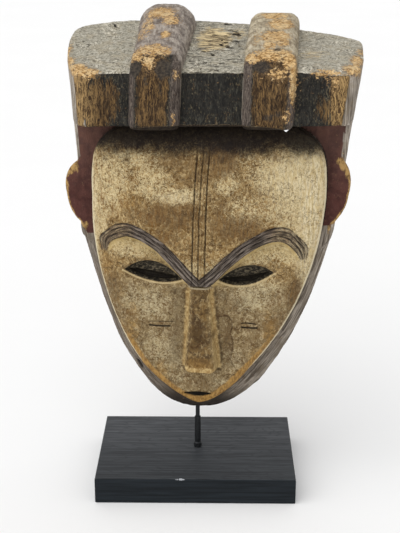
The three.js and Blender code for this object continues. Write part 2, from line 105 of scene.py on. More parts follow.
ROD = {"x": 1.5, "radius": 2.35, "top": 100.35}

# The lower edges of the brows, outwards from the root of the nose
BROWS = {
    -1: ((0, 134), (8.3, 134.3), (18, 144.2), (27.9, 154.8), (37.7, 164.6), (50, 173), (58, 176.2),
         (66.2, 176.8), (77.3, 171.9), (81.3, 163.4), (83.5, 156), (88, 138), (92, 120)),
    1: ((0, 134), (8.3, 134), (14.6, 139.6), (22.7, 148.7), (34.2, 159.5), (45.6, 168), (57.1, 173.4),
        (66.4, 174.8), (74.7, 171.5), (82.1, 163.8), (85.5, 156), (89, 140), (93, 120)),
}
BROW_WIDTH = 10.5
BROW_MEET = 140.5
BROW_CUTS = (0.4, 0.7)

# A small white bruise on the front edge of the block
BLOCK_CHIP = (-13.5, -62.5, 25.0)
CHIP_STRETCH = (0.5, 1.6, 1.6)


def put(name, data):
    """A new object in the scene."""
    holder = bpy.data.objects.new(name, data)
    bpy.context.scene.collection.objects.link(holder)
    return holder


# Numbers
def smoothstep(low, high, value):
    share = np.clip((value - low) / (high - low), 0, 1)
    return share * share * (3 - 2 * share)


def window(value, rise, risen, fall, fallen):
    """1 from risen to fall, 0 before rise and after fallen."""
    return smoothstep(rise, risen, value) * (1 - smoothstep(fall, fallen, value))


def bell(value, width):
    """1 at 0, falling off to both sides over this width."""
    return np.exp(-(value / width) ** 2)


def round_max(a, b, radius):
    """Where two solids overlap, with their shared edge rounded."""
    u = np.maximum(a + radius, 0)
    v = np.maximum(b + radius, 0)
    return np.minimum(np.maximum(a, b), -radius) + np.sqrt(u * u + v * v)


def noise(x, y, z, size, seed):
    """Smooth random values from -1 to 1, with features of this size along each axis."""
    lattice = np.random.default_rng(seed).uniform(-1, 1, (32, 32, 32)).astype(np.float32)
    sizes = (size, size, size) if np.isscalar(size) else size
    cells = [np.asarray(v / s + 1000.0, dtype=np.float64) for v, s in zip((x, y, z), sizes)]
    low = [np.floor(c).astype(np.int64) for c in cells]
    share = [c - i for c, i in zip(cells, low)]
    share = [s * s * (3 - 2 * s) for s in share]
    total = 0
    for corner in range(8):
        step = [(corner >> k) & 1 for k in range(3)]
        weight = 1
        for s, f in zip(step, share):
            weight = weight * (f if s else 1 - f)
        total = total + weight * lattice[tuple((i + s) % 32 for i, s in zip(low, step))]
    return total


# Outlines and depths, as in the solids
def edge_y(z):
    return EDGE["y"] - EDGE["slope"] * (z - EDGE["z"])


def back_y(x):
    return BACK["y"] - BACK["bow"] * np.abs(x - BACK["x"]) ** BACK["power"]


def past_back(x, y):
    return (y - back_y(x)) * BACK["true"]


def roof_z(x, y):
    return ROOF["front"] + (ROOF["slope"] - ROOF["twist"] * x) * (y - COIFFURE["front"])


def face_middle(z):
    return np.interp(z, *FACE_DRIFT)


def rim_middle(z):
    return np.interp(z, *RIM_DRIFT)


def log_reach(x, y, z):
    """How far the log reaches to the side of x, at depth y and height z."""
    reach = {}
    for side, (start, bow) in SIDE_BOW.items():
        reach[side] = np.interp(z, SIDES["z"], SIDES[side]) - bow * np.minimum(y - start, 0) ** 2
    return np.where(x < 0, reach["left"], reach["right"])


def shield_half(shield, z):
    p, q = shield["fall"]
    under = np.clip((shield["widest"] - z) / (shield["widest"] - shield["chin"]), 0, 1)
    over = np.clip((z - shield["widest"]) / (shield["top"] - shield["widest"]), 0, 1)
    top = (1 - over ** shield["top_power"]) ** (1 / shield["top_power"])
    return shield["half"] * np.where(z < shield["widest"], (1 - under ** p) ** (1 / q), top)


def shield_distance(shield, x, z, middle):
    """About how far a point is outside a shield's outline."""
    p, q = shield["fall"]
    power = shield["top_power"]
    fall = shield["widest"] - shield["chin"]
    rise = shield["top"] - shield["widest"]
    aside = np.abs(x - middle(z)) / shield["half"] + 1e-4
    under = np.maximum((shield["widest"] - z) / fall, 1e-4)
    over = np.maximum((z - shield["widest"]) / rise, 1e-4)
    low = aside ** q + under ** p - 1
    low_slope = np.hypot(q * aside ** (q - 1) / shield["half"], p * under ** (p - 1) / fall)
    high = aside ** power + over ** power - 1
    high_slope = np.hypot(power * aside ** (power - 1) / shield["half"], power * over ** (power - 1) / rise)
    far = np.where(z < shield["widest"], low / low_slope, high / np.maximum(high_slope, 1e-3))
    return np.clip(far, -60, 60)


def bulge(shield, x, z, top_start=DOME_TOP["face"]):
    """The dome of the face: 1 in its middle, 0 at its outline, flatter to the chin and the top."""
    aside = np.minimum(np.abs(x - face_middle(z)) / np.maximum(shield_half(shield, z), 1), 1)
    chin = 1 - (1 - np.clip((z - FACE["chin"] + 1) / 150, 0, 1)) ** 2
    top = (1 - np.clip((z - top_start) / (FACE["top"] - DOME_TOP["face"]), 0, 1) ** 2.5) ** 0.6
    return (1 - aside ** 2.5) ** 0.7 * chin * top


def forehead_y(x, z):
    return edge_y(z) - BULGE * bulge(FACE, x, z)


def cheek_y(x, z):
    aside = np.minimum(np.abs(x - face_middle(z)) / np.maximum(shield_half(FACE, z), 1), 1)
    inward = 1 - smoothstep(0.5, 0.95, aside)
    return forehead_y(x, z) + RECESS * inward * smoothstep(20, 75, z)


def skewed(x, z):
    return z + SKEW["slope"] * x * window(z, *SKEW["from"], *SKEW["to"])


def smooth_line(points, count):
    """A Catmull-Rom line through points."""
    p = np.array([points[0], *points, points[-1]], dtype=float)
    t = np.linspace(0, len(points) - 1 - 1e-6, count)
    i = t.astype(int)
    f = (t - i)[:, None]
    a, b, c, d = p[i], p[i + 1], p[i + 2], p[i + 3]
    square = (2 * a - 5 * b + 4 * c - d) * f ** 2
    cube = (3 * b - a - 3 * c + d) * f ** 3
    return 0.5 * (2 * b + (c - a) * f + square + cube)


def line_distance(x, z, points):
    """Distance from each point to a line, and how far along it the nearest place is (0 to 1)."""
    best = np.full(np.broadcast(x, z).shape, 1e9)
    where = np.zeros_like(best)
    lengths = np.hypot(*np.diff(points, axis=0).T)
    starts = np.concatenate([[0], np.cumsum(lengths)])
    for k, ((x0, z0), (x1, z1)) in enumerate(zip(points[:-1], points[1:])):
        length2 = max(lengths[k] ** 2, 1e-9)
        t = np.clip(((x - x0) * (x1 - x0) + (z - z0) * (z1 - z0)) / length2, 0, 1)
        d = np.hypot(x - x0 - t * (x1 - x0), z - z0 - t * (z1 - z0))
        nearer = d < best
        best = np.where(nearer, d, best)
        where = np.where(nearer, (starts[k] + t * lengths[k]) / starts[-1], where)
    return best, where


# The relief of the face, as its depth over x and z
def brow_distance(x, z, side):
    """How far a point is over the lower edge of a brow: below 0 is under it."""
    line = smooth_line(BROWS[side], 90)
    far, _ = line_distance(side * x, z, line)
    over = z > np.interp(side * x, line[:, 0], line[:, 1])
    return np.where(over, far, -far)


def lens_inside(x, z, lens):
    """How deep a point is inside a lens between two arcs, and how high: 0 on the low arc, 1 on the high."""
    (x0, z0), (x1, z1) = sorted((lens["inner"], lens["outer"]))
    t = np.clip((x - x0) / (x1 - x0), 0, 1)
    arcs = []
    for middle in (lens["low"], lens["high"]):
        control = 2 * middle - (z0 + z1) / 2
        arcs.append((1 - t) ** 2 * z0 + 2 * t * (1 - t) * control + t ** 2 * z1)
    low, high = arcs
    outside = np.maximum(x0 - x, x - x1)
    inside = np.minimum(np.minimum(high - z, z - low), -outside)
    return inside, (z - low) / np.maximum(high - low, 0.5)


def groove(far, width, depth):
    """A round-bottomed cut."""
    return depth * bell(far, 0.5 * width)


FOREHEAD_LINES = (
    {"points": ((-6.4, 140), (-6.0, 190), (-5.0, 222), (-3.4, 262)), "depth": 1.5},
    {"points": ((-3.6, 140), (-3.6, 190), (-2.4, 222), (-0.8, 262)), "depth": 0.4},
    {"points": ((-1.2, 140), (-1.2, 190), (0.0, 222), (1.6, 262)), "depth": 1.3},
    {"points": ((1.6, 140), (1.8, 190), (2.7, 222), (4.2, 262)), "depth": 0.4},
    {"points": ((4.4, 140), (4.6, 190), (5.2, 222), (6.8, 262)), "depth": 1.5},
)
SCARS = (
    {"points": ((-44.5, 91.4), (-36, 91.2), (-26.4, 92.1)), "depth": 1.3},
    {"points": ((-44.5, 95), (-34, 95.9), (-23.7, 96.8)), "depth": 0.6},
    {"points": ((36.9, 98.5), (43, 98.9), (49.1, 98.2)), "depth": 0.9},
    {"points": ((37, 94.5), (44, 94.2), (50.5, 94.7)), "depth": 1.4},
    {"points": ((25.3, 110.5), (37, 111.3), (48.7, 111.1)), "depth": 0.4},
)


def furrow_count(x, z):
    """A number that is whole on each forehead line in turn, and in between elsewhere."""
    shifted = x + 0.3 * noise(x, 0 * x, z, 13, 40)
    at = [np.interp(z, *reversed(np.array(line["points"]).T)) for line in FOREHEAD_LINES]
    count = np.clip((shifted - at[0]) / 2.5, -1, 0)
    for left, right in zip(at[:-1], at[1:]):
        count = count + np.clip((shifted - left) / (right - left), 0, 1)
    return count + np.clip((shifted - at[-1]) / 2.5, 0, 1)


def nose_plan(x, z):
    """How far down the nose a place is (0 to 1), how far aside of its middle, and its half width there."""
    t = np.clip((NOSE["root"] + 1 - z) / (NOSE["root"] + 1 - NOSE["tip"]), 0, 1.1)
    half = NOSE["root_half"] + (NOSE["tip_half"] - NOSE["root_half"]) * t ** 1.3
    return t, np.abs(x - NOSE["x"] * t), half


def nose_y(x, z):
    """The front of the nose, far behind the cheeks where there is none."""
    t, aside, half = nose_plan(x, z)
    root = forehead_y(0.0, NOSE["root"]) + NOSE["step"]
    tip = cheek_y(0.0, NOSE["tip"] + 8.0) - NOSE["rise"]
    front = root + (tip - root) * t + 1.5 * np.sin(math.pi * np.minimum(t, 1))
    base = cheek_y(0.0, z) + 3
    flank = NOSE["flank"] * (1 - 0.2 * t)
    shoulder = 2.2 * smoothstep(half - 4.5, half, aside) ** 1.4
    down = np.clip((aside - half) / flank, 0, 3)
    depth = front + shoulder + (base - front - 2.2) * down ** 0.85
    corner = np.hypot(np.maximum(aside - half + 5, 0), np.maximum(NOSE["tip"] + 6.0 - z, 0))
    under = np.clip((corner - 5.5) / 3.5, 0, 3)
    above = np.clip((z - NOSE["root"] - 0.2) / 0.8, 0, 4)
    return depth + 12 * under ** 1.2 + 3 * above


def lines_seen(z, start):
    """Where the forehead lines are seen: they fade in over this start, and out at the sooty top of the face,
    which is also painted with shade under the coiffure.
    """
    return window(z, *start, 245, 262)


def forehead_cuts(x, z):
    """How deep the lines of the forehead are cut."""
    lines = np.zeros(np.broadcast(x, z).shape)
    count = furrow_count(x, z)
    for number, line in enumerate(FOREHEAD_LINES):
        lines = lines + line["depth"] * bell(count - number, 0.3)
    return lines * lines_seen(z, (136, 142))


def brow_bands(x, z, over):
    """How proud the brows stand, how deep they are cut, where they fade, and how high in them a place is.

    The two bands meet in a V over the root of the nose, and narrow and fade at their outer ends.
    """
    aside = np.abs(x)
    low = np.where(x < 0, 156.0, 152.0)
    fade = np.where(aside > 60, smoothstep(low, low + 12, z), 1) * smoothstep(133.2, 134.2, z)
    tail = np.where(aside > 60, smoothstep(low + 20, low + 2, z), 0)
    wider = window(aside, 42, 66, 72, 84)
    width = BROW_WIDTH * (1 + 0.22 * wider) * (1 - 0.6 * tail)
    in_v = BROW_WIDTH - 0.7 * (BROW_MEET + 1.02 * aside - z)
    in_band = in_v + (over - in_v) * smoothstep(8, 14, aside)
    proud = window(in_band, -0.6, 0.6, width - 0.6, width + 0.8) * fade
    cuts = groove(in_band - width, 1.3, 1.2) * fade
    for share in BROW_CUTS:
        cuts = cuts + groove(in_band - share * width, 1.2, 1.3) * fade
    return proud, cuts, fade, in_band / width


def eye_cuts(x, z):
    """How deep the eyes are cut, and masks of their lenses, slits and lids."""
    deep, eyes, slits, lids = (np.zeros(np.broadcast(x, z).shape) for _ in range(4))
    for eye in EYES:
        inside, height = lens_inside(x, z, eye)
        slit = smoothstep(1.0, 2.4, inside) * smoothstep(0.55, 0.25, height)
        lip = bell(inside + 1.3, 1.2) * smoothstep(0.4, -0.3, height)
        scratches = smoothstep(2, 4, inside) * noise(x, 0 * x, z, (7, 7, 1.3), 42)
        deep = deep + DEPTHS["socket"] * smoothstep(-0.3, 2.6, inside) + DEPTHS["slit"] * slit
        deep = deep - 0.6 * lip + 0.5 * scratches
        eyes = np.maximum(eyes, smoothstep(-0.6, 0.6, inside))
        slits = np.maximum(slits, slit)
        lids = lids + bell(inside + 1.3, 0.9) * np.where(height < 0.4, 1, -1)
    return deep, eyes, slits, lids


def scar_cuts(x, z):
    scars = np.zeros(np.broadcast(x, z).shape)
    for scar in SCARS:
        far, _ = line_distance(x, z, smooth_line(scar["points"], 6))
        scars = scars + groove(far, 1.5, scar["depth"])
    return scars


def face_relief(x, z):
    """The depth y of the carved face over x and z, and masks of its parts for the materials."""
    forehead = forehead_y(x, z)
    over = np.where(x < 0, brow_distance(x, z, -1), brow_distance(x, z, 1))
    depth = forehead + (cheek_y(x, z) - forehead) * (1 - smoothstep(-0.9, 1.1, over))
    brow, brow_cuts, brow_fade, brow_height = brow_bands(x, z, over)
    depth = depth - 0.5 * brow + brow_cuts + forehead_cuts(x, z) * (1 - 0.5 * brow)
    depth = np.minimum(depth, nose_y(x, z) + 50 * smoothstep(NOSE["root"], NOSE["root"] + 2, z))

    deep, eyes, slits, lids = eye_cuts(x, z)
    mouth = smoothstep(-0.5, 0.8, lens_inside(x, z, MOUTH)[0])
    scars = scar_cuts(x, z)
    masks = {"brow": brow, "brow_height": np.clip(brow_height, -1, 3), "eyes": eyes, "slits": slits,
             "lids": lids, "mouth": mouth, "scars": scars, "over_brow": over, "brow_fade": brow_fade}
    return depth + deep + DEPTHS["mouth"] * mouth + scars, masks


class Map:
    """The relief of the face over x and z on a fine grid, read in between."""

    STEP = 0.4

    def __init__(self):
        self.x = np.arange(-126, 130, self.STEP)
        self.z = np.arange(-2, 294, self.STEP)
        self.depth, self.masks = face_relief(self.x[:, None], self.z[None, :])
        slope_x, slope_z = np.gradient(self.depth, self.STEP)
        self.steepness = np.sqrt(1 + np.clip(slope_x ** 2 + slope_z ** 2, 0, 9))

    def read(self, values, x, z):
        u = np.clip((x - self.x[0]) / self.STEP, 0, len(self.x) - 1.001)
        v = np.clip((z - self.z[0]) / self.STEP, 0, len(self.z) - 1.001)
        i, j = u.astype(int), v.astype(int)
        f, g = u - i, v - j
        low = values[i, j] * (1 - f) + values[i + 1, j] * f
        high = values[i, j + 1] * (1 - f) + values[i + 1, j + 1] * f
        return low * (1 - g) + high * g


relief = Map()


# The carving as a distance in its own frame: below 0 is wood
def face_distance(x, y, z):
    outline = shield_distance(FACE, x, z, face_middle)
    front = (relief.read(relief.depth, x, z) - y) / relief.read(relief.steepness, x, z)
    back = y - edge_y(z) - 20
    return np.maximum(round_max(outline, front, 1.2), back)


def head_distance(x, y, z):
    behind = y - edge_y(z)
    slant = BOARD["slant"] * np.clip((20 - behind) / 8, 0, 1) * (1 - smoothstep(RIM_FROM, RIM_FROM + 15, z))
    rim = shield_distance(RIM, x, z, rim_middle) + 0.8 * slant
    log = np.abs(x) - log_reach(x, y, z)
    side = rim + (log - rim) * smoothstep(RIM_FROM - 6, RIM_FROM + 6, z)
    front = BOARD["behind"] - behind
    return np.maximum(round_max(round_max(side, front, 1.5), past_back(x, y), 4), z - BOARD["top"])


def ear_outline(side):
    """The outline of an ear, with its inner edge inside the head."""
    ear = EARS[side]
    reach, (proud, height) = ear["reach"], ear["shoulder"]
    inner, bottom, belly, top = EAR["inner"], EAR["bottom"], EAR["belly"], ear["top"]
    arcs = (((inner, bottom), (reach - 2, belly - 24), (reach, belly)),
            ((reach, belly), (reach + proud, height), (inner + 12, top)))
    points = []
    for a, b, c in arcs:
        for t in np.linspace(0, 1, 14):
            points.append([(1 - t) ** 2 * a[k] + 2 * t * (1 - t) * b[k] + t ** 2 * c[k] for k in (0, 1)])
    return np.array([*points, [inner, top], [inner, bottom]])


def ear_edge_distance(x, z):
    """How far a point is outside the outline of the nearer ear."""
    far = np.full(np.broadcast(x, z).shape, 40.0)
    for side in (-1, 1):
        outline = ear_outline(side)
        edge, _ = line_distance(side * x, z, outline)
        inside = np.zeros(edge.shape, dtype=bool)
        for (x0, z0), (x1, z1) in zip(outline[:-1], outline[1:]):
            if z0 != z1:
                crosses = (z0 > z) != (z1 > z)
                at = x0 + (z - z0) * (x1 - x0) / (z1 - z0)
                inside ^= crosses & (side * x < at)
        far = np.minimum(far, np.where(inside, -edge, edge))
    return far


def ear_distance(x, y, z):
    half = EAR["thickness"] / 2
    middle = edge_y(z) + EAR["behind"] + half
    return round_max(ear_edge_distance(x, z), np.abs(y - middle) - half, 2.0)


def coiffure_distance(x, y, z):
    side = np.abs(x) - log_reach(x, y, z)
    front = COIFFURE["front"] - y
    plan = round_max(side, front, COIFFURE["corner"])
    plan = round_max(plan, past_back(x, y), COIFFURE["back_corner"])
    roof = (z - roof_z(x, y)) * ROOF["true"]
    worn = 2 + 4 * smoothstep(75, 105, np.abs(x)) * smoothstep(-60, -90, y)
    block = round_max(plan, roof, worn)
    return round_max(block, COIFFURE["bottom"] - z, 2)


def crest_distance(crest, x, y, z):
    end = back_y(float(crest["back_x"])) + CREST["overhang"]
    front = COIFFURE["front"] - CREST["proud"]
    along = np.clip((y - COIFFURE["front"]) / (end - COIFFURE["front"]), 0, 1)
    middle = crest["x"] + (crest["back_x"] - crest["x"]) * along
    half = crest["half"] + (crest["back_half"] - crest["half"]) * along
    top = roof_z(float(crest["x"]), y) + crest["height"] + (crest["back_height"] - crest["height"]) * along
    rounding = crest["round"] + (crest["back_round"] - crest["round"]) * smoothstep(0.05, 0.6, along)
    below = (z - top) * ROOF["true"]
    side = np.abs(x - middle) - half
    arch = round_max(side, below, rounding)
    plan = round_max(side, front - y, 9)
    profile = round_max(below, front - y, CREST["shoulder"])
    bar = np.maximum(round_max(arch, plan, 3), profile)
    bar = round_max(bar, y - end, 6 + 20 * smoothstep(-34, -4, below))
    bottom = CREST["bottom"] + np.clip((y + 84) * 1.5, 0, 25)
    return round_max(bar, bottom - z, 6)


def nearer_crest_distance(x, y, z):
    return np.minimum(crest_distance(CRESTS[0], x, y, z), crest_distance(CRESTS[1], x, y, z))


def hollow_distance(x, y, z):
    outline = shield_distance(HOLLOW, x, z, face_middle)
    dome = bulge(HOLLOW, x, z, DOME_TOP["hollow"])
    inside = edge_y(z) + WALL["thickness"] - WALL["bulge"] * dome
    return round_max(outline, (inside - y) * 0.85, 6)


def piercing_distance(x, y, z):
    at, along = np.array(PIERCING["at"]), np.array(PIERCING["along"])
    shift = y - at[1]
    across = np.abs(x - at[0] - along[0] * shift)
    up = np.abs(z - at[2] - along[2] * shift)
    return np.maximum(0.75 * (across + up) - PIERCING["radius"] * 0.78, np.abs(shift) - 32)


def pose_matrix():
    turns = [Matrix.Rotation(math.radians(POSE[key]), 4, axis)
             for key, axis in (("turn", "Z"), ("lean", "X"), ("roll", "Y"))]
    return Matrix.Translation(POSE["at"]) @ turns[0] @ turns[1] @ turns[2]


def socket_distance(x, y, z):
    inverse = pose_matrix().inverted()
    low, high = (inverse @ Vector((ROD["x"], 0, h)) for h in (40, ROD["top"]))
    along = (high - low).normalized()
    t = (x - low.x) * along.x + (y - low.y) * along.y + (z - low.z) * along.z
    far2 = (x - low.x) ** 2 + (y - low.y) ** 2 + (z - low.z) ** 2 - t ** 2
    return np.maximum(np.sqrt(np.maximum(far2, 0)) - ROD["radius"], t - (high - low).length)


def carving(x, y, z):
    wood = np.minimum(head_distance(x, y, z), face_distance(x, y, z))
    wood = np.minimum(wood, ear_distance(x, y, z))
    wood = np.minimum(wood, coiffure_distance(x, y, z))
    wood = np.minimum(wood, nearer_crest_distance(x, y, z))
    wood = round_max(wood, -hollow_distance(x, y, z), 1.5)
    wood = np.maximum(wood, -piercing_distance(x, y, z))
    return np.maximum(wood, -socket_distance(x, y, z))


# The mesh of the carving
GRID = {"low": (-124, -108, -4), "high": (132, 52, 386), "step": 1.25}
TRIANGLES = 190000


def axis_arrays():
    step = GRID["step"]
    axes = [np.arange(low, high, step) for low, high in zip(GRID["low"], GRID["high"])]
    return axes[0][:, None, None], axes[1][None, :, None], axes[2][None, None, :]


def coarse_mesh():
    """The carving as quads, one crossing of the grid each."""
    distances = np.clip(carving(*axis_arrays()), -3, 3).astype(np.float32)
    grid = openvdb.FloatGrid(3.0)
    grid.copyFromArray(np.ascontiguousarray(distances))
    points, _, quads = grid.convertToPolygons(isovalue=0.0)
    points = points.astype(float) * GRID["step"] + np.array(GRID["low"])
    mesh = bpy.data.meshes.new("mask_carving")
    mesh.vertices.add(len(points))
    mesh.vertices.foreach_set("co", points.ravel())
    mesh.loops.add(quads.size)
    mesh.loops.foreach_set("vertex_index", quads[:, ::-1].astype(np.int32).ravel())
    mesh.polygons.add(len(quads))
    mesh.polygons.foreach_set("loop_start", np.arange(0, quads.size, 4, dtype=np.int32))
    mesh.update(calc_edges=True)
    mesh.validate()
    return mesh


def vertices_of(mesh):
    points = np.empty(len(mesh.vertices) * 3, dtype=np.float32)
    mesh.vertices.foreach_get("co", points)
    return points.reshape(-1, 3).astype(float)


def set_vertices(mesh, points):
    mesh.vertices.foreach_set("co", np.asarray(points, dtype=np.float32).ravel())
    mesh.update()


def settle(points, rounds):
    """Moves points onto the surface of the carving, and gives its normals there."""
    reach = 0.25
    for _ in range(rounds):
        x, y, z = points.T
        here = carving(x, y, z)
        slopes = [carving(x + a, y + b, z + c) - carving(x - a, y - b, z - c)
                  for a, b, c in ((reach, 0, 0), (0, reach, 0), (0, 0, reach))]
        gradient = np.stack(slopes, axis=1) / (2 * reach)
        length = np.linalg.norm(gradient, axis=1)
        normals = gradient / np.maximum(length, 1e-6)[:, None]
        points = points - normals * np.clip(here / np.maximum(length, 0.4), -0.9, 0.9)[:, None]
    return points, normals


def refine(mesh):
    """Splits the faces of the front of the carving once, so that its cuts are drawn finely."""
    shape = bmesh.new()
    shape.from_mesh(mesh)
    chosen = set()
    for face in shape.faces:
        x, y, z = face.calc_center_median()
        on_face = 12 < z < FACE["top"] and abs(x) < FACE["half"] + 4 and y < edge_y(z) + 2
        if on_face or (z > 274 and y < 10):
            chosen.update(face.edges)
    bmesh.ops.subdivide_edges(shape, edges=list(chosen), cuts=1, use_grid_fill=True)
    bmesh.ops.triangulate(shape, faces=shape.faces[:])
    shape.to_mesh(mesh)
    shape.free()
    mesh.update()


def thin_out(mesh, triangles):
    """Takes out the edges that matter least, down to this many triangles."""
    holder = put("thinning", mesh)
    modifier = holder.modifiers.new("thin", "DECIMATE")
    modifier.ratio = min(1.0, triangles / len(mesh.polygons))
    bpy.context.view_layer.update()
    evaluated = holder.evaluated_get(bpy.context.evaluated_depsgraph_get())
    thinned = bpy.data.meshes.new_from_object(evaluated)
    bpy.data.objects.remove(holder)
    bpy.data.meshes.remove(mesh)
    thinned.name = "mask_carving"
    return thinned


# Wear of the surface. The drying cracks of the roof, each by its ends over x and y and its width
CHECKS = (
    ((6.7, 17.1), (14.4, 18.2), 1.9), ((11.7, 1.9), (21.0, -0.5), 1.0), ((16.2, -6.7), (25.1, -10.0), 2.0),
    ((16.6, -22.7), (24.9, -25.4), 2.0), ((11.0, -27.8), (14.8, -29.6), 1.6),
    ((7.7, -33.5), (13.6, -37.4), 1.3), ((13.6, -37.4), (20.1, -42.5), 1.9),
    ((23.7, -35.0), (26.5, -34.8), 1.3), ((7.9, -24.2), (10.7, -24.7), 1.2),
    ((-5.2, -51.6), (-2.2, -49.5), 1.3), ((2.8, -58.1), (6.2, -56.1), 1.5),
    ((-6.1, -77.1), (1.3, -74.6), 0.9), ((2.6, -78.9), (10.2, -79.1), 1.1),
    ((11.3, -76.9), (16.9, -74.5), 1.0), ((22.5, -71.3), (25.7, -72.6), 1.2),
    ((9.7, -13.7), (15.3, -12.4), 0.9), ((-6.2, 11.2), (-0.2, 10.1), 0.9),
    ((19.7, -29.7), (21.5, -32.0), 1.4), ((-89.7, 5.9), (-83.5, -4.3), 0.9), ((-16, -30), (-9, -31), 0.8),
    ((-12, -8), (-5, -9), 0.8),
)
RIM_CHIP = (-57, 44)


def roof_checks(x, y):
    """How deep the drying cracks in the roof are here, in millimetres."""
    deep = np.zeros(np.broadcast(x, y).shape)
    for (x0, y0), (x1, y1), width in CHECKS:
        length = math.hypot(x1 - x0, y1 - y0)
        along = ((x - x0) * (x1 - x0) + (y - y0) * (y1 - y0)) / length
        across = ((x - x0) * (y1 - y0) - (y - y0) * (x1 - x0)) / length
        across = across + 0.5 * np.sin(along * 0.9 + x0)
        reach = np.sqrt(np.clip(1 - (2 * along / length - 1) ** 2, 0, 1))
        deep = np.maximum(deep, 2.2 * reach * bell(across, width))
    return deep


def scoops(x, z, cell, seed):
    """Shallow hollows side by side, as an adze leaves them: 0 at their middle, 1 at their ridges."""
    x, z = x / cell[0], z / cell[1]
    i, j = np.floor(x).astype(int), np.floor(z).astype(int)
    random = np.random.default_rng(seed).uniform(0.15, 0.85, (64, 64, 2))
    best = np.full(x.shape, 9.0)
    for a in (-1, 0, 1):
        for b in (-1, 0, 1):
            shift = random[(i + a) % 64, (j + b) % 64]
            best = np.minimum(best, (i + a + shift[:, 0] - x) ** 2 + (j + b + shift[:, 1] - z) ** 2)
    return np.minimum(best, 1)


def rim_chip(x, y, z):
    """The dark bruise low on the left of the rim."""
    aside, up = x - RIM_CHIP[0], z - RIM_CHIP[1]
    across = 0.87 * aside + 0.49 * up
    along = 0.49 * aside - 0.87 * up
    return bell(across, 2.2) * np.exp(-(along / 6) ** 4) * smoothstep(0, -8, y)


def zones(points, normals):
    """Where each vertex is on the carving, as weights from 0 to 1."""
    x, y, z = points.T
    to_front, up = -normals[:, 1], normals[:, 2]
    outline = shield_distance(FACE, x, z, face_middle)
    behind = y - edge_y(z)
    crest = (nearer_crest_distance(x, y, z) < 1.2) & (coiffure_distance(x, y, z) > 0.4)
    block = z > COIFFURE["bottom"] - 3.2
    inside = hollow_distance(x, y, z) < 2.6
    back = inside | (normals[:, 1] > 0.55)
    face = (outline < 0.6) & (behind < 2.5) & (z < FACE["top"] + 1) & ~back
    coiffure = (crest | (coiffure_distance(x, y, z) < 0.6)) & block & ~face
    on_top = (roof_z(x, y) - z < 7) & (up > 0.35)
    bottom = 178 + 0.05 * x + 1.5 * noise(x, y, z, 9, 45)
    board = (behind < 26) & (behind > 2.0) & (z > bottom) & ~coiffure & ~back
    board = board & ((to_front > 0.35) | (ear_distance(x, y, z) < 0.6))
    everything = {
        "face": face,
        "coiffure": coiffure,
        "roof": coiffure & on_top & ~crest,
        "crest": crest & coiffure & (normals[:, 1] < 0.6),
        "board": board & ~face,
        "inside": inside & ~coiffure,
    }
    return {name: part.astype(float) for name, part in everything.items()}


def weathered(points, normals):
    """Pushes the surface in and out by tool marks, grain, cracks and chips."""
    x, y, z = points.T
    part = zones(points, normals)
    face, roof, crest, inside = part["face"], part["roof"], part["crest"], part["inside"]
    upright = (1 - face) * (1 - roof) * (1 - inside) * (1 - np.clip(normals[:, 2], 0, 1))
    rough = roof + 0.8 * crest
    layers = (
        (0.45 * (1 - 0.6 * face), 34, 1),
        (0.22 * (1 - 0.5 * face), 13, 2),
        (0.24 * upright, (2.4, 4, 34), 3),
        (0.2 * upright, (5, 8, 60), 4),
        (0.16 * face, (7, 7, 10), 5),
        (0.07 * face, 2.2, 6),
        (0.22 * rough, 2.3, 7),
        (0.18 * rough, 5, 8),
        (0.3 * roof * window(x, -24, -14, 24, 32), (11, 1.9, 3), 9),
    )
    shift = sum(weight * noise(x, y, z, size, seed) for weight, size, seed in layers)

    tools = 0.9 * inside * (1 - scoops(x, z, (13, 21), 10))
    tools = tools + 0.25 * part["board"] * (1 - scoops(x, z, (10, 16), 11))
    front_edge = bell(roof_z(x, y) - z - 1.5, 3.2) * bell(COIFFURE["front"] + 2 - y, 4) * (1 - crest)
    low_edge = bell(z - COIFFURE["bottom"] - 1, 2.2) * part["coiffure"]
    chips = np.maximum(noise(x, y, z, (6, 9, 5), 12) + 0.5 * noise(x, y, z, 2.6, 13), 0)
    chips = (2.2 * front_edge + 0.9 * low_edge) * chips + 2.5 * (1 - face) * rim_chip(x, y, z)
    return points + normals * (shift - roof * roof_checks(x, y) - tools - chips)[:, None]


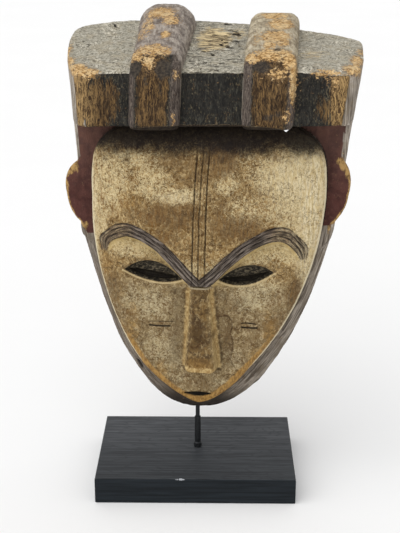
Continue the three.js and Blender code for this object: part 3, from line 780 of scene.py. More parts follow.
# Paint: soft spots by their middle, half sizes and weight, which the material breaks up further.
# On the face and for WOOD_SPOTS they lie over x and z, on the roof over x and y, and elsewhere in space
FACE_SPOTS = {
    "pale": (
        (-80, 226, 18, 24, 0.8), (-90, 195, 9, 28, 0.9), (-19, 215, 18, 7, 0.72), (-42, 222, 16, 10, 0.6),
        (22, 226, 9, 9, 0.85), (37, 202, 15, 12, 0.6), (80, 216, 20, 38, 1.05), (58, 232, 18, 13, 0.75),
        (64, 200, 16, 12, 0.6), (-58, 166, 24, 8, 0.75), (69, 166, 24, 9, 0.95), (48, 160, 16, 6, 0.7),
        (-43, 114, 18, 14, 0.5), (-33, 70, 16, 16, 0.5), (44, 124, 17, 14, 0.6), (54, 134, 14, 9, 0.6),
        (-60, 245, 24, 8, 0.65), (-43, 232, 15, 10, 0.6), (-7, 150, 9, 9, 0.55), (12, 150, 8, 9, 0.45),
        (46, 243, 22, 8, 0.35), (-92, 150, 5, 30, 0.65), (90, 160, 5, 34, 0.8), (28, 60, 10, 14, 0.4),
        (-22, 60, 8, 12, 0.4), (20, 38, 10, 5, 0.45), (-20, 40, 9, 5, 0.4), (-60, 118, 10, 12, 0.4),
    ),
    "brown": (
        (-24, 197, 28, 12, 0.9), (17, 246, 16, 16, 0.85), (30, 187, 24, 12, 0.85), (17, 200, 10, 16, 0.6),
        (-76, 113, 9, 30, 0.5), (-63, 74, 8, 22, 0.5), (82, 127, 7, 16, 0.9), (64, 95, 12, 14, 0.55),
        (30, 118, 9, 14, 0.45), (25, 80, 5, 24, 0.6), (2, 36, 30, 6, 0.45), (-30, 178, 14, 8, 0.6),
        (-75, 135, 9, 10, 0.55), (-52, 200, 14, 10, 0.5), (62, 190, 14, 10, 0.4), (-20, 244, 34, 9, 0.6),
        (-5, 232, 18, 10, 0.5), (50, 180, 14, 6, 0.4), (-35, 92, 10, 12, 0.35), (60, 60, 10, 10, 0.4),
        (-48, 54, 8, 10, 0.4), (44, 80, 8, 8, 0.45), (70, 238, 6, 6, 0.3), (-86, 170, 8, 10, 0.5),
    ),
    "ochre": (
        (0, 17, 30, 6, 0.95), (-35, 42, 7, 14, 0.6), (33, 40, 7, 14, 0.6), (1, 60, 15, 9, 0.6),
        (10, 120, 7, 16, 0.4), (-60, 90, 7, 26, 0.55), (62, 88, 7, 24, 0.62), (-60, 210, 14, 12, 0.45),
        (50, 62, 8, 16, 0.5), (-84, 150, 8, 16, 0.45), (-88, 190, 6, 16, 0.4), (-70, 120, 8, 16, 0.4),
        (46, 44, 10, 6, 0.5),
    ),
    "dark": (
        (0, 92, 7, 14, 0.75), (-4, 78, 9, 6, 0.5), (0, 128, 9, 6, 0.5), (-20, 128, 10, 6, 0.35),
        (22, 126, 8, 8, 0.3), (8, 84, 5, 7, 0.5), (13, 88, 3, 6, 0.5),
    ),
    "cream": (
        (93, 206, 11, 46, 1.0), (74, 228, 20, 20, 0.6), (-97, 200, 5, 50, 0.9), (-20, 214, 14, 4, 0.5),
        (88, 160, 6, 20, 0.6),
    ),
    "streaks": (
        (-88, 214, 14, 36, 0.9), (-64, 206, 14, 26, 0.6), (-40, 190, 20, 16, 0.7), (40, 192, 22, 18, 0.5),
        (-84, 130, 8, 34, 0.6), (-62, 84, 8, 26, 0.5), (70, 100, 12, 30, 0.5), (92, 190, 8, 40, 0.4),
        (-10, 185, 12, 24, 0.6),
    ),
}
BARE_SPOTS = (
    (-45, -14, 361, 13, 13, 9, 0.85), (-54, -30, 354, 7, 12, 8, 0.6), (-34, -29, 356, 7, 12, 8, 0.85),
    (-49.5, -43, 351, 4, 7, 6, 0.8), (-57, -50, 347, 10, 20, 10, 0.5), (-35, -58, 346, 4, 8, 6, 0.9),
    (-42, -83, 334, 15, 10, 8, 0.8), (-31, -84, 333, 6, 10, 6, 0.7), (-54, -87, 329, 8, 10, 6, 0.85),
    (-43, -95, 325, 6, 7, 7, 0.7), (-20.6, -97, 316, 3, 6, 4, 0.95), (-21, -104, 282, 2, 6, 5, 0.5),
    (52, -6, 360, 12, 9, 9, 0.85), (58, -26, 354, 10, 14, 9, 1.0), (55, -54, 344, 11, 14, 8, 1.05),
    (51, -73, 338, 5, 9, 7, 0.9), (62, -69, 341, 5, 10, 7, 0.8), (55, -88, 331, 14, 8, 7, 1.0),
    (40, -91, 328, 8, 6, 6, 0.85), (69, -94, 323, 6, 8, 12, 0.95), (72, -100, 310, 3.4, 8, 18, 0.85),
    (58, -100, 317, 14, 6, 7, 0.5), (40, -60, 343, 5, 24, 8, 0.42), (68, -104, 284, 4, 6, 7, 0.5),
    (-103, -85, 320, 10, 11, 5, 0.95), (-92, -92, 318, 9, 8, 4, 0.95), (-112, -70, 324, 6, 14, 5, 0.8),
    (-118, -42, 330, 5, 32, 7, 0.8), (117, -86, 318, 8, 9, 6, 0.85), (121, -68, 323, 5, 16, 8, 0.85),
    (125, -46, 330, 4, 18, 6, 0.55), (97, -94, 317, 13, 7, 4, 0.6), (104, -95, 310, 8, 6, 6, 0.45),
)
WOOD_SPOTS = (
    (-101, 296, 11, 40, 1.0), (-84, 290, 13, 22, 0.95), (-74, 294, 9, 20, 0.72),
    (-38.5, 300, 12.5, 44, 1.05), (55, 304, 14.5, 42, 1.05), (110, 293, 9, 30, 1.0), (97, 288, 9, 12, 0.6),
    (9, 280, 8, 5, 0.42), (-8, 306, 3, 6, 0.45), (24, 283, 6, 7, 0.4), (117, 298, 8, 30, 1.0),
    (-88, 312, 10, 6, 0.35),
)
BLACK_SPOTS = (
    (-53.5, -98, 321, 5.5, 7, 6, 1.0), (-31, -99, 321, 6.5, 7, 9.5, 1.0), (47, -98, 322, 7, 7, 5, 1.0),
    (58, -83, 335, 3.5, 4, 4, 0.7), (54, -104, 283, 5, 5, 3.5, 0.65), (62, -104, 286, 3.5, 5, 3.5, 0.6),
    (-32, -104, 305, 2.5, 5, 9, 0.5), (-44, -104, 313, 2.2, 5, 7, 0.55),
)
TAN_SPOTS = ((2, -22, 15, 28, 0.9), (22, -8, 9, 18, 0.5), (85, -55, 16, 14, 0.45))


def spots(places, table):
    """The strongest of the spots of a table, at places over two or three axes."""
    total = np.zeros_like(places[0])
    count = len(places)
    for row in table:
        far = sum(((v - middle) / half) ** 2 for v, middle, half in zip(places, row, row[count:]))
        total = np.maximum(total, row[-1] * np.exp(-0.7 * far ** 1.5))
    return total


# Tide marks: one runs down beside the nose, the others run across below it and over the nose
TIDE_DOWN = (
    (22, 107), (27.5, 103), (29, 96), (27.5, 88), (29.5, 80), (29, 70), (27.5, 62), (31, 55), (36, 49),
)
TIDES_ACROSS = {
    "tide_low": ((20, 43), (26, 47), (31, 46), (36, 49), (44, 51), (50, 57)),
    "tide_top": ((14, 105), (20, 105), (24, 106.5), (28, 103)),
    "tide_nose": ((-9, 82), (-6, 77), (-3, 76), (0, 79), (4, 82), (7, 80), (9, 82), (11, 88)),
}


def tide_marks(x, z):
    """How far a place is beside each tide mark, and where the mark is seen."""
    line = np.array(TIDE_DOWN)[::-1]
    marks = {"tide_down": x - np.interp(z, line[:, 1], line[:, 0])}
    marks["tide_down_seen"] = window(z, 47, 51, 103, 107)
    for name, points in TIDES_ACROSS.items():
        line = np.array(points)
        marks[name] = z - np.interp(x, line[:, 0], line[:, 1])
        start, end = line[0, 0], line[-1, 0]
        marks[name + "_seen"] = window(x, start, start + 2, end - 2, end)
    return marks


def paint_of_face(x, y, z, face):
    """Stains and rubbed places of the face."""
    read = {name: relief.read(values, x, z) for name, values in relief.masks.items()}
    weights = {name: spots((x, z), table) for name, table in FACE_SPOTS.items()}
    outline = shield_distance(FACE, x, z, face_middle)
    # A painted highlight: a thin cream line where the rounded edge of the face catches the light, on its
    # lower part
    weights["face_edge_highlight"] = smoothstep(-2.4, -1.0, outline) * window(z, 42, 70, 225, 255)
    weights["edge_band"] = smoothstep(-9, -4.5, outline) * (1 - smoothstep(48, 120, z))
    # Painted shade under the overhang of the coiffure, over real sooty blackening at the top of the face
    weights["soot_and_shade"] = smoothstep(239, 262, z + 5 * noise(x, y, z, 9, 20) + 2 * noise(x, y, z, 3, 24))
    weights["brow"] = np.clip(read["brow"], 0, 1)
    under = read["over_brow"]
    # A painted highlight: a thin line on the lower edge of each brow, and a fainter wide one on the recess
    # below it
    light = 0.8 * bell(under + 1.5, 0.9) + 0.45 * bell(under + 6, 6) * (under < 0)
    weights["brow_highlight"] = light * read["brow_fade"] * smoothstep(7, 11, np.abs(x))
    weights["cut"] = np.clip(1.1 * read["scars"], 0, 1.3)
    weights["brow_height"] = read["brow_height"]
    weights["brow_fade"] = read["brow_fade"]
    weights["brow_solid"] = 1 - smoothstep(50, 68, np.abs(x))
    weights["own_x"], weights["own_z"] = x, z
    weights["furrow"] = furrow_count(x, z) + 1
    weights["furrow_fade"] = lines_seen(z, (134, 137)) * (1 - 0.3 * read["brow"])
    weights["eye"] = np.maximum(read["eyes"], read["mouth"])
    weights["slit"] = np.maximum(read["slits"], 0.8 * read["mouth"])
    weights["lid"] = np.clip(read["lids"], 0, 1)
    weights["lid_shade"] = np.clip(-read["lids"], 0, 1)
    weights["cheek"] = 0.7 * smoothstep(146, 128, z)
    weights.update(tide_marks(x, z))
    weights.update(paint_of_nose(x, z))
    return {name: face * values for name, values in weights.items()}


def paint_of_nose(x, z):
    _, aside, half = nose_plan(x, z)
    height = window(z, NOSE["tip"] - 1, NOSE["tip"] + 2, NOSE["root"] - 3, NOSE["root"])
    flank = aside - half - 0.45 * NOSE["flank"]
    below = smoothstep(half + 5, half + 2, aside)
    side = bell(flank, 2.6) * height
    tip = bell(z - NOSE["tip"] - 2.5, 2.6) * below
    # Painted shade along the foot of the nose, stronger on the right, and a painted shadow just under its
    # tip
    foot = bell(aside - half - NOSE["flank"] - 0.6, 1.0) * height
    under = bell(z - NOSE["tip"] + 1.5, 1.1) * below
    beside = bell(aside - half - NOSE["flank"] - 6, 6) * height
    return {
        "nose_front": smoothstep(half + 2, half - 4, aside) * height,
        "nose_side": np.maximum(side, tip),
        "nose_foot_shade": np.maximum(foot * np.where(x < 0, 0.45, 0.85), 0.9 * under),
        "nose_shade": beside * np.where(x < 0, 1, 0.45),
    }


def paint_of_coiffure(x, y, z, part, normals):
    """Bare ochre wood, brown and black fronts and mauve-grey flanks of the coiffure."""
    coiffure, crest, roof = part["coiffure"], part["crest"], part["roof"]
    to_front, up = -normals[:, 1], normals[:, 2]
    corner = np.where(x < 0, smoothstep(0.45, 0.65, to_front), smoothstep(0.86, 0.97, to_front))
    proud = smoothstep(-92, -95, y) * smoothstep(0.62, 0.45, up)
    turned = np.where(crest > 0, np.maximum(smoothstep(0.5, 0.75, to_front), proud), corner)
    low_edge = 0.75 * smoothstep(6, 3, z - COIFFURE["bottom"]) * smoothstep(-80, -88, y) * (np.abs(x) < 112)
    front = coiffure * np.maximum(turned, low_edge) * (1 - roof)
    crest_middle = np.where(x < 7, -38.5, 54.0)
    flank = crest * front * smoothstep(13, 16, np.abs(x - crest_middle))
    return {
        "bare": coiffure * spots((x, y, z), BARE_SPOTS),
        "wood": front * spots((x, z), WOOD_SPOTS) * (1 - 0.8 * flank),
        "black_patch": crest * spots((x, y, z), BLACK_SPOTS),
        "mauve": flank,
        "wood_light": front * np.maximum(smoothstep(-80, -102, x), smoothstep(96, 108, x)),
        "tan": roof * spots((x, y), TAN_SPOTS),
        "checked": roof * window(x, -24, -14, 26, 34),
        "front": front,
    }


def paint_of_ears(x, y, z, face):
    """The worn edges of the ears."""
    ears = (ear_distance(x, y, z) < 1) * (1 - face) * (z < 250)
    ears = ears * smoothstep(100, 106, np.abs(x) + 0.25 * (210 - z))
    wide = 1.8 + 3.5 * smoothstep(224, 234, z)
    worn = smoothstep(-wide - 1, -wide + 1, ear_edge_distance(x, z) + noise(x, y, z, 5, 46))
    return ears * worn * smoothstep(22, 15, y - edge_y(z) + 2 * noise(x, y, z, 6, 47))


def paint(points, normals):
    """The weights of each paint and stain at the vertices, for the material."""
    x, y, z = points.T
    part = zones(points, normals)
    face, roof = part["face"], part["roof"]
    weights = {**part, **paint_of_face(x, y, z, face), **paint_of_coiffure(x, y, z, part, normals)}

    outline = shield_distance(FACE, x, z, face_middle)
    # Painted shade: dark lines in the crevices round the face and along the feet of the crests on the roof;
    # the roof's cracks and the rim's bruise are dark too
    wall_shade = (1 - face) * bell(outline, 1.6) * (y < edge_y(z) + 13) * (z < FACE["top"] + 1)
    cracks = roof * np.clip(roof_checks(x, y) / 0.8, 0, 1)
    foot = 0.6 * roof * bell(nearer_crest_distance(x, y, z), 1.6)
    weights["crevice_shade_and_cracks"] = np.maximum.reduce([0.85 * wall_shade, cracks, foot, rim_chip(x, y, z) * (1 - face)])

    weights["ear_wear"] = paint_of_ears(x, y, z, face)

    # The log's grey sides beside the red board, and the black foot of the rim
    side = np.abs(x) - log_reach(x, y, z) + np.where(x > 0, 5, 2.5)
    weights["board"] = weights["board"] * (1 - smoothstep(-1, 1, side) * (ear_edge_distance(x, z) > 0))
    weights["rim"] = (1 - face) * (1 - part["coiffure"]) * (1 - part["inside"]) * (z < 182)
    weights["foot"] = weights["rim"] * bell(x + 2, 46) * bell(z - 8, 22)
    weights["left"] = (x < 0).astype(float)

    # Places along and across the rim, for the streaks of its grain
    weights["around"] = np.arctan2(x, np.abs(RIM["widest"] + 4 - z)) * 130
    weights["across"] = outline
    return weights


def carved_mask():
    """The mesh of the mask, its points in its own frame and the weights of its paints."""
    mesh = coarse_mesh()
    points, _ = settle(vertices_of(mesh), 2)
    set_vertices(mesh, points)
    refine(mesh)
    points, normals = settle(vertices_of(mesh), 2)
    set_vertices(mesh, weathered(points, normals))
    mesh = thin_out(mesh, TRIANGLES)
    points = vertices_of(mesh)
    _, normals = settle(points, 1)
    return mesh, points, paint(points, normals)


def posed(mesh, points):
    """Skews the carving as the solids are, and puts it on its rod, in metres."""
    points = points.copy()
    points[:, 2] = skewed(points[:, 0], points[:, 2])
    matrix = np.array(pose_matrix())
    set_vertices(mesh, (points @ matrix[:3, :3].T + matrix[:3, 3]) * MM)
    mesh.shade_smooth()


# Materials. Colours are written as they look in this scene's light, which is brighter than 1 on the mask
LIGHT = 1.15
BRIDGE_Z = 132.2


def linear(hex_colour):
    """A colour written as six hex digits, as the shader wants it."""
    values = [int(hex_colour[k:k + 2], 16) / 255 for k in (0, 2, 4)]
    values = [v / 12.92 if v <= 0.04045 else ((v + 0.055) / 1.055) ** 2.4 for v in values]
    return tuple(v / LIGHT for v in values) + (1.0,)


class Shader:
    """Short names for the nodes of one material. Places are in millimetres."""

    def __init__(self, name):
        self.material = bpy.data.materials.new(name)
        self.material.use_nodes = True
        self.tree = self.material.node_tree
        self.surface = self.tree.nodes["Principled BSDF"]
        metres = self.node("ShaderNodeTexCoord").outputs["Object"]
        self.place = self.vector("MULTIPLY", metres, (1000, 1000, 1000))[0]

    def node(self, kind, **settings):
        node = self.tree.nodes.new(kind)
        for key, value in settings.items():
            setattr(node, key, value)
        return node

    def link(self, source, target):
        if isinstance(source, (int, float, tuple)):
            target.default_value = source
        else:
            self.tree.links.new(source, target)

    def filled(self, node, *values):
        """The outputs of a node whose inputs get these values in turn."""
        for value, target in zip(values, node.inputs):
            self.link(value, target)
        return node.outputs

    def weight(self, name):
        return self.node("ShaderNodeAttribute", attribute_name=name).outputs["Fac"]

    def math(self, operation, a, b=0.0):
        return self.filled(self.node("ShaderNodeMath", operation=operation), a, b)[0]

    def vector(self, operation, *values):
        return self.filled(self.node("ShaderNodeVectorMath", operation=operation), *values)

    def split(self, vector):
        return self.filled(self.node("ShaderNodeSeparateXYZ"), vector)

    def joined(self, *values):
        return self.filled(self.node("ShaderNodeCombineXYZ"), *values)[0]

    def product(self, *values):
        total = values[0]
        for value in values[1:]:
            total = self.math("MULTIPLY", total, value)
        return total

    def most(self, values):
        values = list(values)
        total = values[0]
        for value in values[1:]:
            total = self.math("MAXIMUM", total, value)
        return total

    def ramp(self, value, low, high, to=(0.0, 1.0)):
        """Reads a value from low to high as the range to, and stops at its ends."""
        node = self.node("ShaderNodeMapRange", interpolation_type="SMOOTHSTEP")
        return self.filled(node, value, low, high, *to)[0]

    def near(self, value, at, inner, outer, share=1.0):
        """The share within inner of a number, and 0 outside outer."""
        away = self.math("ABSOLUTE", self.math("SUBTRACT", value, at))
        return self.ramp(away, inner, outer, (share, 0.0))

    def swing(self, noise, amount):
        """A noise as a number that goes to both sides of 0."""
        return self.product(self.math("SUBTRACT", noise, 0.5), amount)

    def noise(self, sizes, detail=3.0, roughness=0.55, shift=0.0, distortion=0.0, turn=0.0, place=None):
        """Noise from 0 to 1 whose features have these sizes along x, y and z, turned about z by degrees."""
        if isinstance(sizes, (int, float)):
            sizes = (sizes, sizes, sizes)
        place = place or self.place
        if turn:
            rotation = self.node("ShaderNodeMapping")
            self.link(place, rotation.inputs["Vector"])
            rotation.inputs["Rotation"].default_value = (0, 0, math.radians(turn))
            place = rotation.outputs[0]
        mapping = self.node("ShaderNodeMapping")
        self.link(place, mapping.inputs["Vector"])
        mapping.inputs["Scale"].default_value = tuple(1 / size for size in sizes)
        mapping.inputs["Location"].default_value = (shift, shift * 0.7, shift * 1.3)
        node = self.node("ShaderNodeTexNoise")
        self.link(mapping.outputs[0], node.inputs["Vector"])
        settings = {"Scale": 1.0, "Detail": detail, "Roughness": roughness, "Distortion": distortion}
        for key, value in settings.items():
            node.inputs[key].default_value = value
        return node.outputs["Fac"]

    def bent(self, size, amount):
        """Places shifted about by a wide noise, so that what is drawn on them wavers."""
        node = self.node("ShaderNodeTexNoise")
        self.link(self.place, node.inputs["Vector"])
        node.inputs["Scale"].default_value = 1 / size
        node.inputs["Detail"].default_value = 2.0
        return self.vector("MULTIPLY_ADD", node.outputs["Color"], (amount, amount, amount), self.place)[0]

    def vein(self, size, detail, roughness, shift, width, distortion=0.5):
        """Thin lines where a noise crosses its middle."""
        return self.near(self.noise(size, detail, roughness, shift, distortion), 0.5, 0.0, width)

    def mix(self, share, under, over):
        """One colour over another, as far as the share says."""
        node = self.node("ShaderNodeMix", data_type="RGBA")
        self.link(share, node.inputs[0])
        for source, key in ((under, 6), (over, 7)):
            self.link(linear(source) if isinstance(source, str) else source, node.inputs[key])
        return node.outputs[2]

    def mix_number(self, share, under, over):
        node = self.node("ShaderNodeMix", data_type="FLOAT")
        for source, key in ((share, 0), (under, 2), (over, 3)):
            self.link(source, node.inputs[key])
        return node.outputs[0]

    def tones(self, value, low, high, under, over):
        """Two colours that a value from low to high blends."""
        return self.mix(self.ramp(value, low, high), under, over)

    def lay(self, colour, tone, value, low, high, share=1.0):
        """A tone over a colour where a value nears high, at most as thick as the share."""
        return self.mix(self.ramp(value, low, high, (0.0, share)), colour, tone)

    def broken(self, weight, grain, spread=0.5, edge=0.12):
        """A soft weight broken up by noise into patches with ragged borders."""
        lifted = self.math("ADD", weight, self.swing(grain, spread * 2))
        return self.ramp(lifted, 0.5 - edge, 0.5 + edge)

    def patches(self, colour, tone, name, grain, spread, edge, share):
        """A tone over a colour in ragged patches, where the weight of this name is high."""
        seen = self.broken(self.weight(name), grain, spread, edge)
        return self.mix(self.product(seen, share), colour, tone)

    def finish(self, colour, roughness, height=None, strength=0.5, distance=1.0):
        self.link(colour, self.surface.inputs["Base Color"])
        self.link(roughness, self.surface.inputs["Roughness"])
        if height is not None:
            bump = self.node("ShaderNodeBump")
            bump.inputs["Strength"].default_value = strength
            bump.inputs["Distance"].default_value = distance * MM
            self.link(height, bump.inputs["Height"])
            self.link(bump.outputs[0], self.surface.inputs["Normal"])
        return self.material


def face_colour(s):
    """Kaolin rubbed thin over wood: mottled, stained and veined, greyer on the cheeks."""
    mottle = s.noise(8, 6.0, 0.68, 3, 0.6)
    flakes = s.noise((3.0, 3, 4.2), 5.0, 0.66, 9, 0.8)
    fine = s.noise(1.3, 3.0, 0.6, 11)
    upright = s.noise((1.6, 2, 9), 3.0, 0.6, 5)
    colour = kaolin_colour(s, mottle, flakes, fine, upright)
    brown = s.tones(upright, 0.4, 0.62, "55402a", "7d5f38")
    colour = s.patches(colour, brown, "brown", mottle, 0.8, 0.3, 0.72)
    ochre = s.tones(flakes, 0.4, 0.6, "86673a", "b08a4c")
    colour = s.patches(colour, ochre, "ochre", s.noise(4, 3.0, 0.6, 31), 0.6, 0.3, 0.6)

    veins = s.product(s.vein(9, 4.0, 0.62, 40, 0.015), s.ramp(mottle, 0.44, 0.56))
    small = s.product(s.vein(4, 3.0, 0.6, 44, 0.028), s.ramp(s.noise(14, 2.0, 0.5, 47), 0.42, 0.56))
    veins = s.math("MAXIMUM", veins, small)
    colour = s.mix(s.product(veins, 0.72), colour, "4b361e")
    colour = s.lay(colour, "62492b", upright, 0.57, 0.68, 0.4)
    runs = s.ramp(s.noise((2.2, 3, 13), 4.0, 0.65, 53, 0.4), 0.5, 0.64)
    colour = s.mix(s.product(s.weight("streaks"), runs, 0.7), colour, "80592c")

    colour = nose_colour(s, colour, mottle, flakes)
    colour = s.patches(colour, "42301c", "dark", mottle, 0.5, 0.25, 0.75)
    colour = tide_colour(s, colour, flakes)
    worn_edge = s.tones(upright, 0.36, 0.62, "8a6636", "bd9352")
    colour = s.patches(colour, worn_edge, "edge_band", flakes, 0.5, 0.3, 0.8)
    # Painted highlight along the rounded edge of the face
    colour = s.patches(colour, "e2d5b4", "face_edge_highlight", flakes, 0.6, 0.3, 0.85)
    height = s.math("SUBTRACT", s.product(mottle, 1.2), veins)
    return colour, fine, s.math("ADD", height, s.product(flakes, 0.8))


def kaolin_colour(s, mottle, flakes, fine, upright):
    """The pale clay where it is thin, flaked, laced and cream."""
    cheek = s.weight("cheek")
    warm = s.tones(mottle, 0.36, 0.64, "6f532d", "9f8254")
    grey = s.tones(mottle, 0.36, 0.64, "705a3c", "968562")
    colour = s.mix(cheek, warm, grey)
    colour = s.lay(colour, s.mix(cheek, "ccb281", "b8a989"), flakes, 0.52, 0.6, 0.68)
    colour = s.lay(colour, "573e20", s.noise(4.6, 4.0, 0.62, 17, 1.2), 0.53, 0.6, 0.8)

    pale = s.broken(s.weight("pale"), s.noise(5, 7.0, 0.7, 58, 1.2), 1.7, 0.12)
    holes = s.ramp(s.noise(2.2, 4.0, 0.68, 19), 0.4, 0.54, (0.2, 0.85))
    tone = s.mix(cheek, s.tones(fine, 0.35, 0.65, "b89d6b", "dccaa0"), "b0a382")
    colour = s.mix(s.product(pale, holes), colour, tone)
    lace = s.product(s.vein(5.2, 2.0, 0.6, 57, 0.07, 2.0), s.ramp(s.weight("pale"), 0.0, 0.6, (0.25, 0.8)))
    colour = s.mix(lace, colour, s.mix(cheek, "dccb9f", "bfb292"))
    cream = s.product(s.weight("cream"), s.ramp(flakes, 0.34, 0.5, (0.5, 0.95)))
    return s.mix(cream, colour, s.tones(upright, 0.4, 0.6, "d0ba8b", "efe1bc"))


def nose_colour(s, colour, mottle, flakes):
    """The rubbed brown front of the nose between its lighter flanks."""
    front = s.tones(mottle, 0.42, 0.58, "46331d", "7d6138")
    front = s.lay(front, "a58d62", flakes, 0.52, 0.6, 0.6)
    front = s.lay(front, "35261a", s.noise(3.6, 4.0, 0.66, 107, 1.0), 0.54, 0.62, 0.7)
    colour = s.mix(s.product(s.weight("nose_front"), 0.8), colour, front)
    low = s.broken(s.weight("ochre"), flakes, 0.5, 0.3)
    colour = s.mix(s.product(s.weight("nose_front"), low, 0.6), colour, "876433")
    flank = s.tones(flakes, 0.4, 0.6, "a08150", "cdb27d")
    colour = s.patches(colour, flank, "nose_side", flakes, 0.7, 0.3, 0.85)
    colour = s.mix(s.product(s.weight("nose_shade"), 0.45), colour, "6a5c45")
    # Painted shade along the foot of the nose and painted shadow under its tip
    foot = s.product(s.weight("nose_foot_shade"), s.ramp(flakes, 0.35, 0.5, (0.5, 0.95)))
    return s.mix(foot, colour, "3d2d1c")


def tide_colour(s, colour, flakes):
    """Brown lines where water has dried, with a faint shade beside them."""
    waver = s.swing(s.noise(4, 3.0, 0.6, 105), 3.0)
    for name in ("tide_down", *TIDES_ACROSS):
        beside = s.math("ADD", s.weight(name), waver)
        line = s.near(beside, 0.0, 0.35, 1.9 if name == "tide_nose" else 1.1)
        shade = s.product(s.ramp(beside, -7, -1), s.ramp(beside, -0.5, 0.5, (1.0, 0.0)), 0.3)
        seen = s.product(s.math("MAXIMUM", line, shade), s.weight(name + "_seen"))
        colour = s.mix(s.product(seen, s.ramp(flakes, 0.3, 0.6, (0.95, 0.45))), colour, "402a16")
    return colour


def brow_colour(s, colour, fine):
    """The brows: brushed grey bands with dark cuts along them, and a painted highlight on their lower edge
    and the recess below.
    """
    light = s.product(s.ramp(s.weight("brow_highlight"), 0.1, 0.9), s.ramp(fine, 0.2, 0.6, (0.5, 0.95)))
    colour = s.mix(light, colour, "c4ab75")
    height = s.weight("brow_height")
    along = s.joined(s.product(height, 10.0), s.weight("own_x"))
    brushed = s.noise((1.0, 11, 5), 4.0, 0.66, 63, place=along)
    band = s.tones(brushed, 0.4, 0.66, "342d29", "8b8077")
    solid = s.mix_number(s.weight("brow_solid"), s.ramp(brushed, 0.4, 0.6, (0.9, 0.35)), 0.94)
    ragged = s.broken(s.weight("brow"), s.noise(2.2, 4.0, 0.7, 64), 0.55, 0.2)
    colour = s.mix(s.product(ragged, solid), colour, band)
    wavered = s.math("ADD", height, s.swing(s.noise(7, 2.0, 0.5, 66), 0.2))
    cuts = s.most(s.near(wavered, share, 0.02, 0.075) for share in (0.06, *BROW_CUTS, 0.97))
    uneven = s.ramp(s.noise((5, 3, 5), 3.0, 0.6, 65), 0.34, 0.56, (0.2, 1.0))
    return s.mix(s.product(cuts, s.weight("brow_fade"), uneven, 0.82), colour, "1f1916")


def line_colour(s, colour):
    """The pale bridge over the nose and the dark lines down the forehead."""
    bridge = s.near(s.weight("own_z"), BRIDGE_Z, 0.4, 1.0)
    bridge = s.product(bridge, s.near(s.weight("own_x"), 0.0, 9.5, 10.5, 0.85))
    colour = s.mix(bridge, colour, "b5a688")
    furrows = s.most(s.near(s.weight("furrow"), number + 1.0, 0.1, 0.34, line["depth"] / 1.5)
                     for number, line in enumerate(FOREHEAD_LINES))
    uneven = s.ramp(s.noise((3, 3, 7), 3.0, 0.65, 67), 0.32, 0.52, (0.35, 1.0))
    return s.mix(s.product(furrows, s.weight("furrow_fade"), uneven, 0.88), colour, "241a12")


def eye_colour(s, colour, fine):
    """Pale lids over scratched black sockets, and the black cuts of the cheeks."""
    colour = s.mix(s.product(s.weight("lid_shade"), 0.6), colour, "4a3a28")
    colour = s.patches(colour, "cdb78a", "lid", fine, 0.4, 0.3, 0.75)
    colour = s.lay(colour, "1c1613", s.weight("cut"), 0.2, 0.85, 0.92)
    socket = s.tones(s.noise((3.5, 3, 1.5), 4.0, 0.66, 61, 0.9), 0.48, 0.62, "1f1d1a", "645b4a")
    socket = s.lay(socket, "0f0e0d", s.weight("slit"), 0.3, 0.8)
    return s.lay(colour, socket, s.weight("eye"), 0.35, 0.65, 0.97)


def rim_colour(s, streaks, patch):
    """Grey-brown wood whose grain runs along the rim, and upright on the sides of the log."""
    around = s.joined(s.weight("across"), s.split(s.place)[1], s.weight("around"))
    along = s.noise((1.3, 1.5, 30), 4.0, 0.62, 71, place=around)
    upright = s.tones(streaks, 0.36, 0.62, "62584d", "b9afa2")
    upright = s.lay(upright, "8a7c67", patch, 0.5, 0.66, 0.45)
    bent = s.tones(along, 0.36, 0.64, "5a5046", "a99e90")
    bent = s.lay(bent, "6d604f", patch, 0.46, 0.66, 0.5)
    bent = s.mix(s.product(s.weight("left"), 0.35), bent, "4a4037")
    colour = s.mix(s.weight("rim"), upright, bent)
    return s.patches(colour, "292421", "foot", along, 0.5, 0.3, 0.85)


def inside_colour(s, streaks, patch):
    """The plain brown wood of the hollow."""
    return s.lay(s.tones(streaks, 0.35, 0.65, "4c3829", "7a5f44"), "3a2a1f", patch, 0.46, 0.64, 0.6)


def board_colour(s, worn, patch):
    """The red board behind the face, greyer at its top."""
    high = s.ramp(s.split(s.place)[2], 270, 345)
    board = s.tones(patch, 0.35, 0.65, s.mix(high, "482c28", "59403a"), s.mix(high, "5a3832", "6b4c42"))
    return s.lay(board, "755248", worn, 0.55, 0.7, 0.3)


def roof_colour(s, worn):
    """Grey weathered end of the log, scratched every way, tan and checked in the middle."""
    place = s.bent(16, 34)
    dark_scratches = s.noise((1.5, 9, 5), 4.0, 0.7, 81, turn=38, place=place)
    pale_scratches = s.noise((1.4, 8, 5), 4.0, 0.7, 84, turn=-52, place=place)
    colour = s.tones(worn, 0.36, 0.62, "8f8a7b", "b5b0a1")
    colour = s.lay(colour, "a79d87", s.noise(11, 3.0, 0.6, 86), 0.48, 0.62, 0.6)
    here = s.ramp(s.noise(20, 3.0, 0.6, 92), 0.4, 0.6, (0.35, 0.9))
    for scratches, tone in ((dark_scratches, "5c564a"), (pale_scratches, "e2dbc9")):
        colour = s.mix(s.product(s.ramp(scratches, 0.53, 0.59), here), colour, tone)
    colour = s.lay(colour, "4e473c", s.noise(2.4, 4.0, 0.7, 87), 0.56, 0.62, 0.8)
    lines = s.noise((11, 1.5, 3), 4.0, 0.7, 88)
    tan = s.tones(lines, 0.45, 0.56, "5d4a30", "e6cf9f")
    colour = s.patches(colour, tan, "tan", s.noise((7, 2.2, 4), 5.0, 0.7, 89), 0.9, 0.2, 0.9)
    dark_lines = s.product(s.ramp(lines, 0.455, 0.4), s.weight("checked"))
    return s.mix(s.product(dark_lines, 0.9), colour, "2e2922"), lines


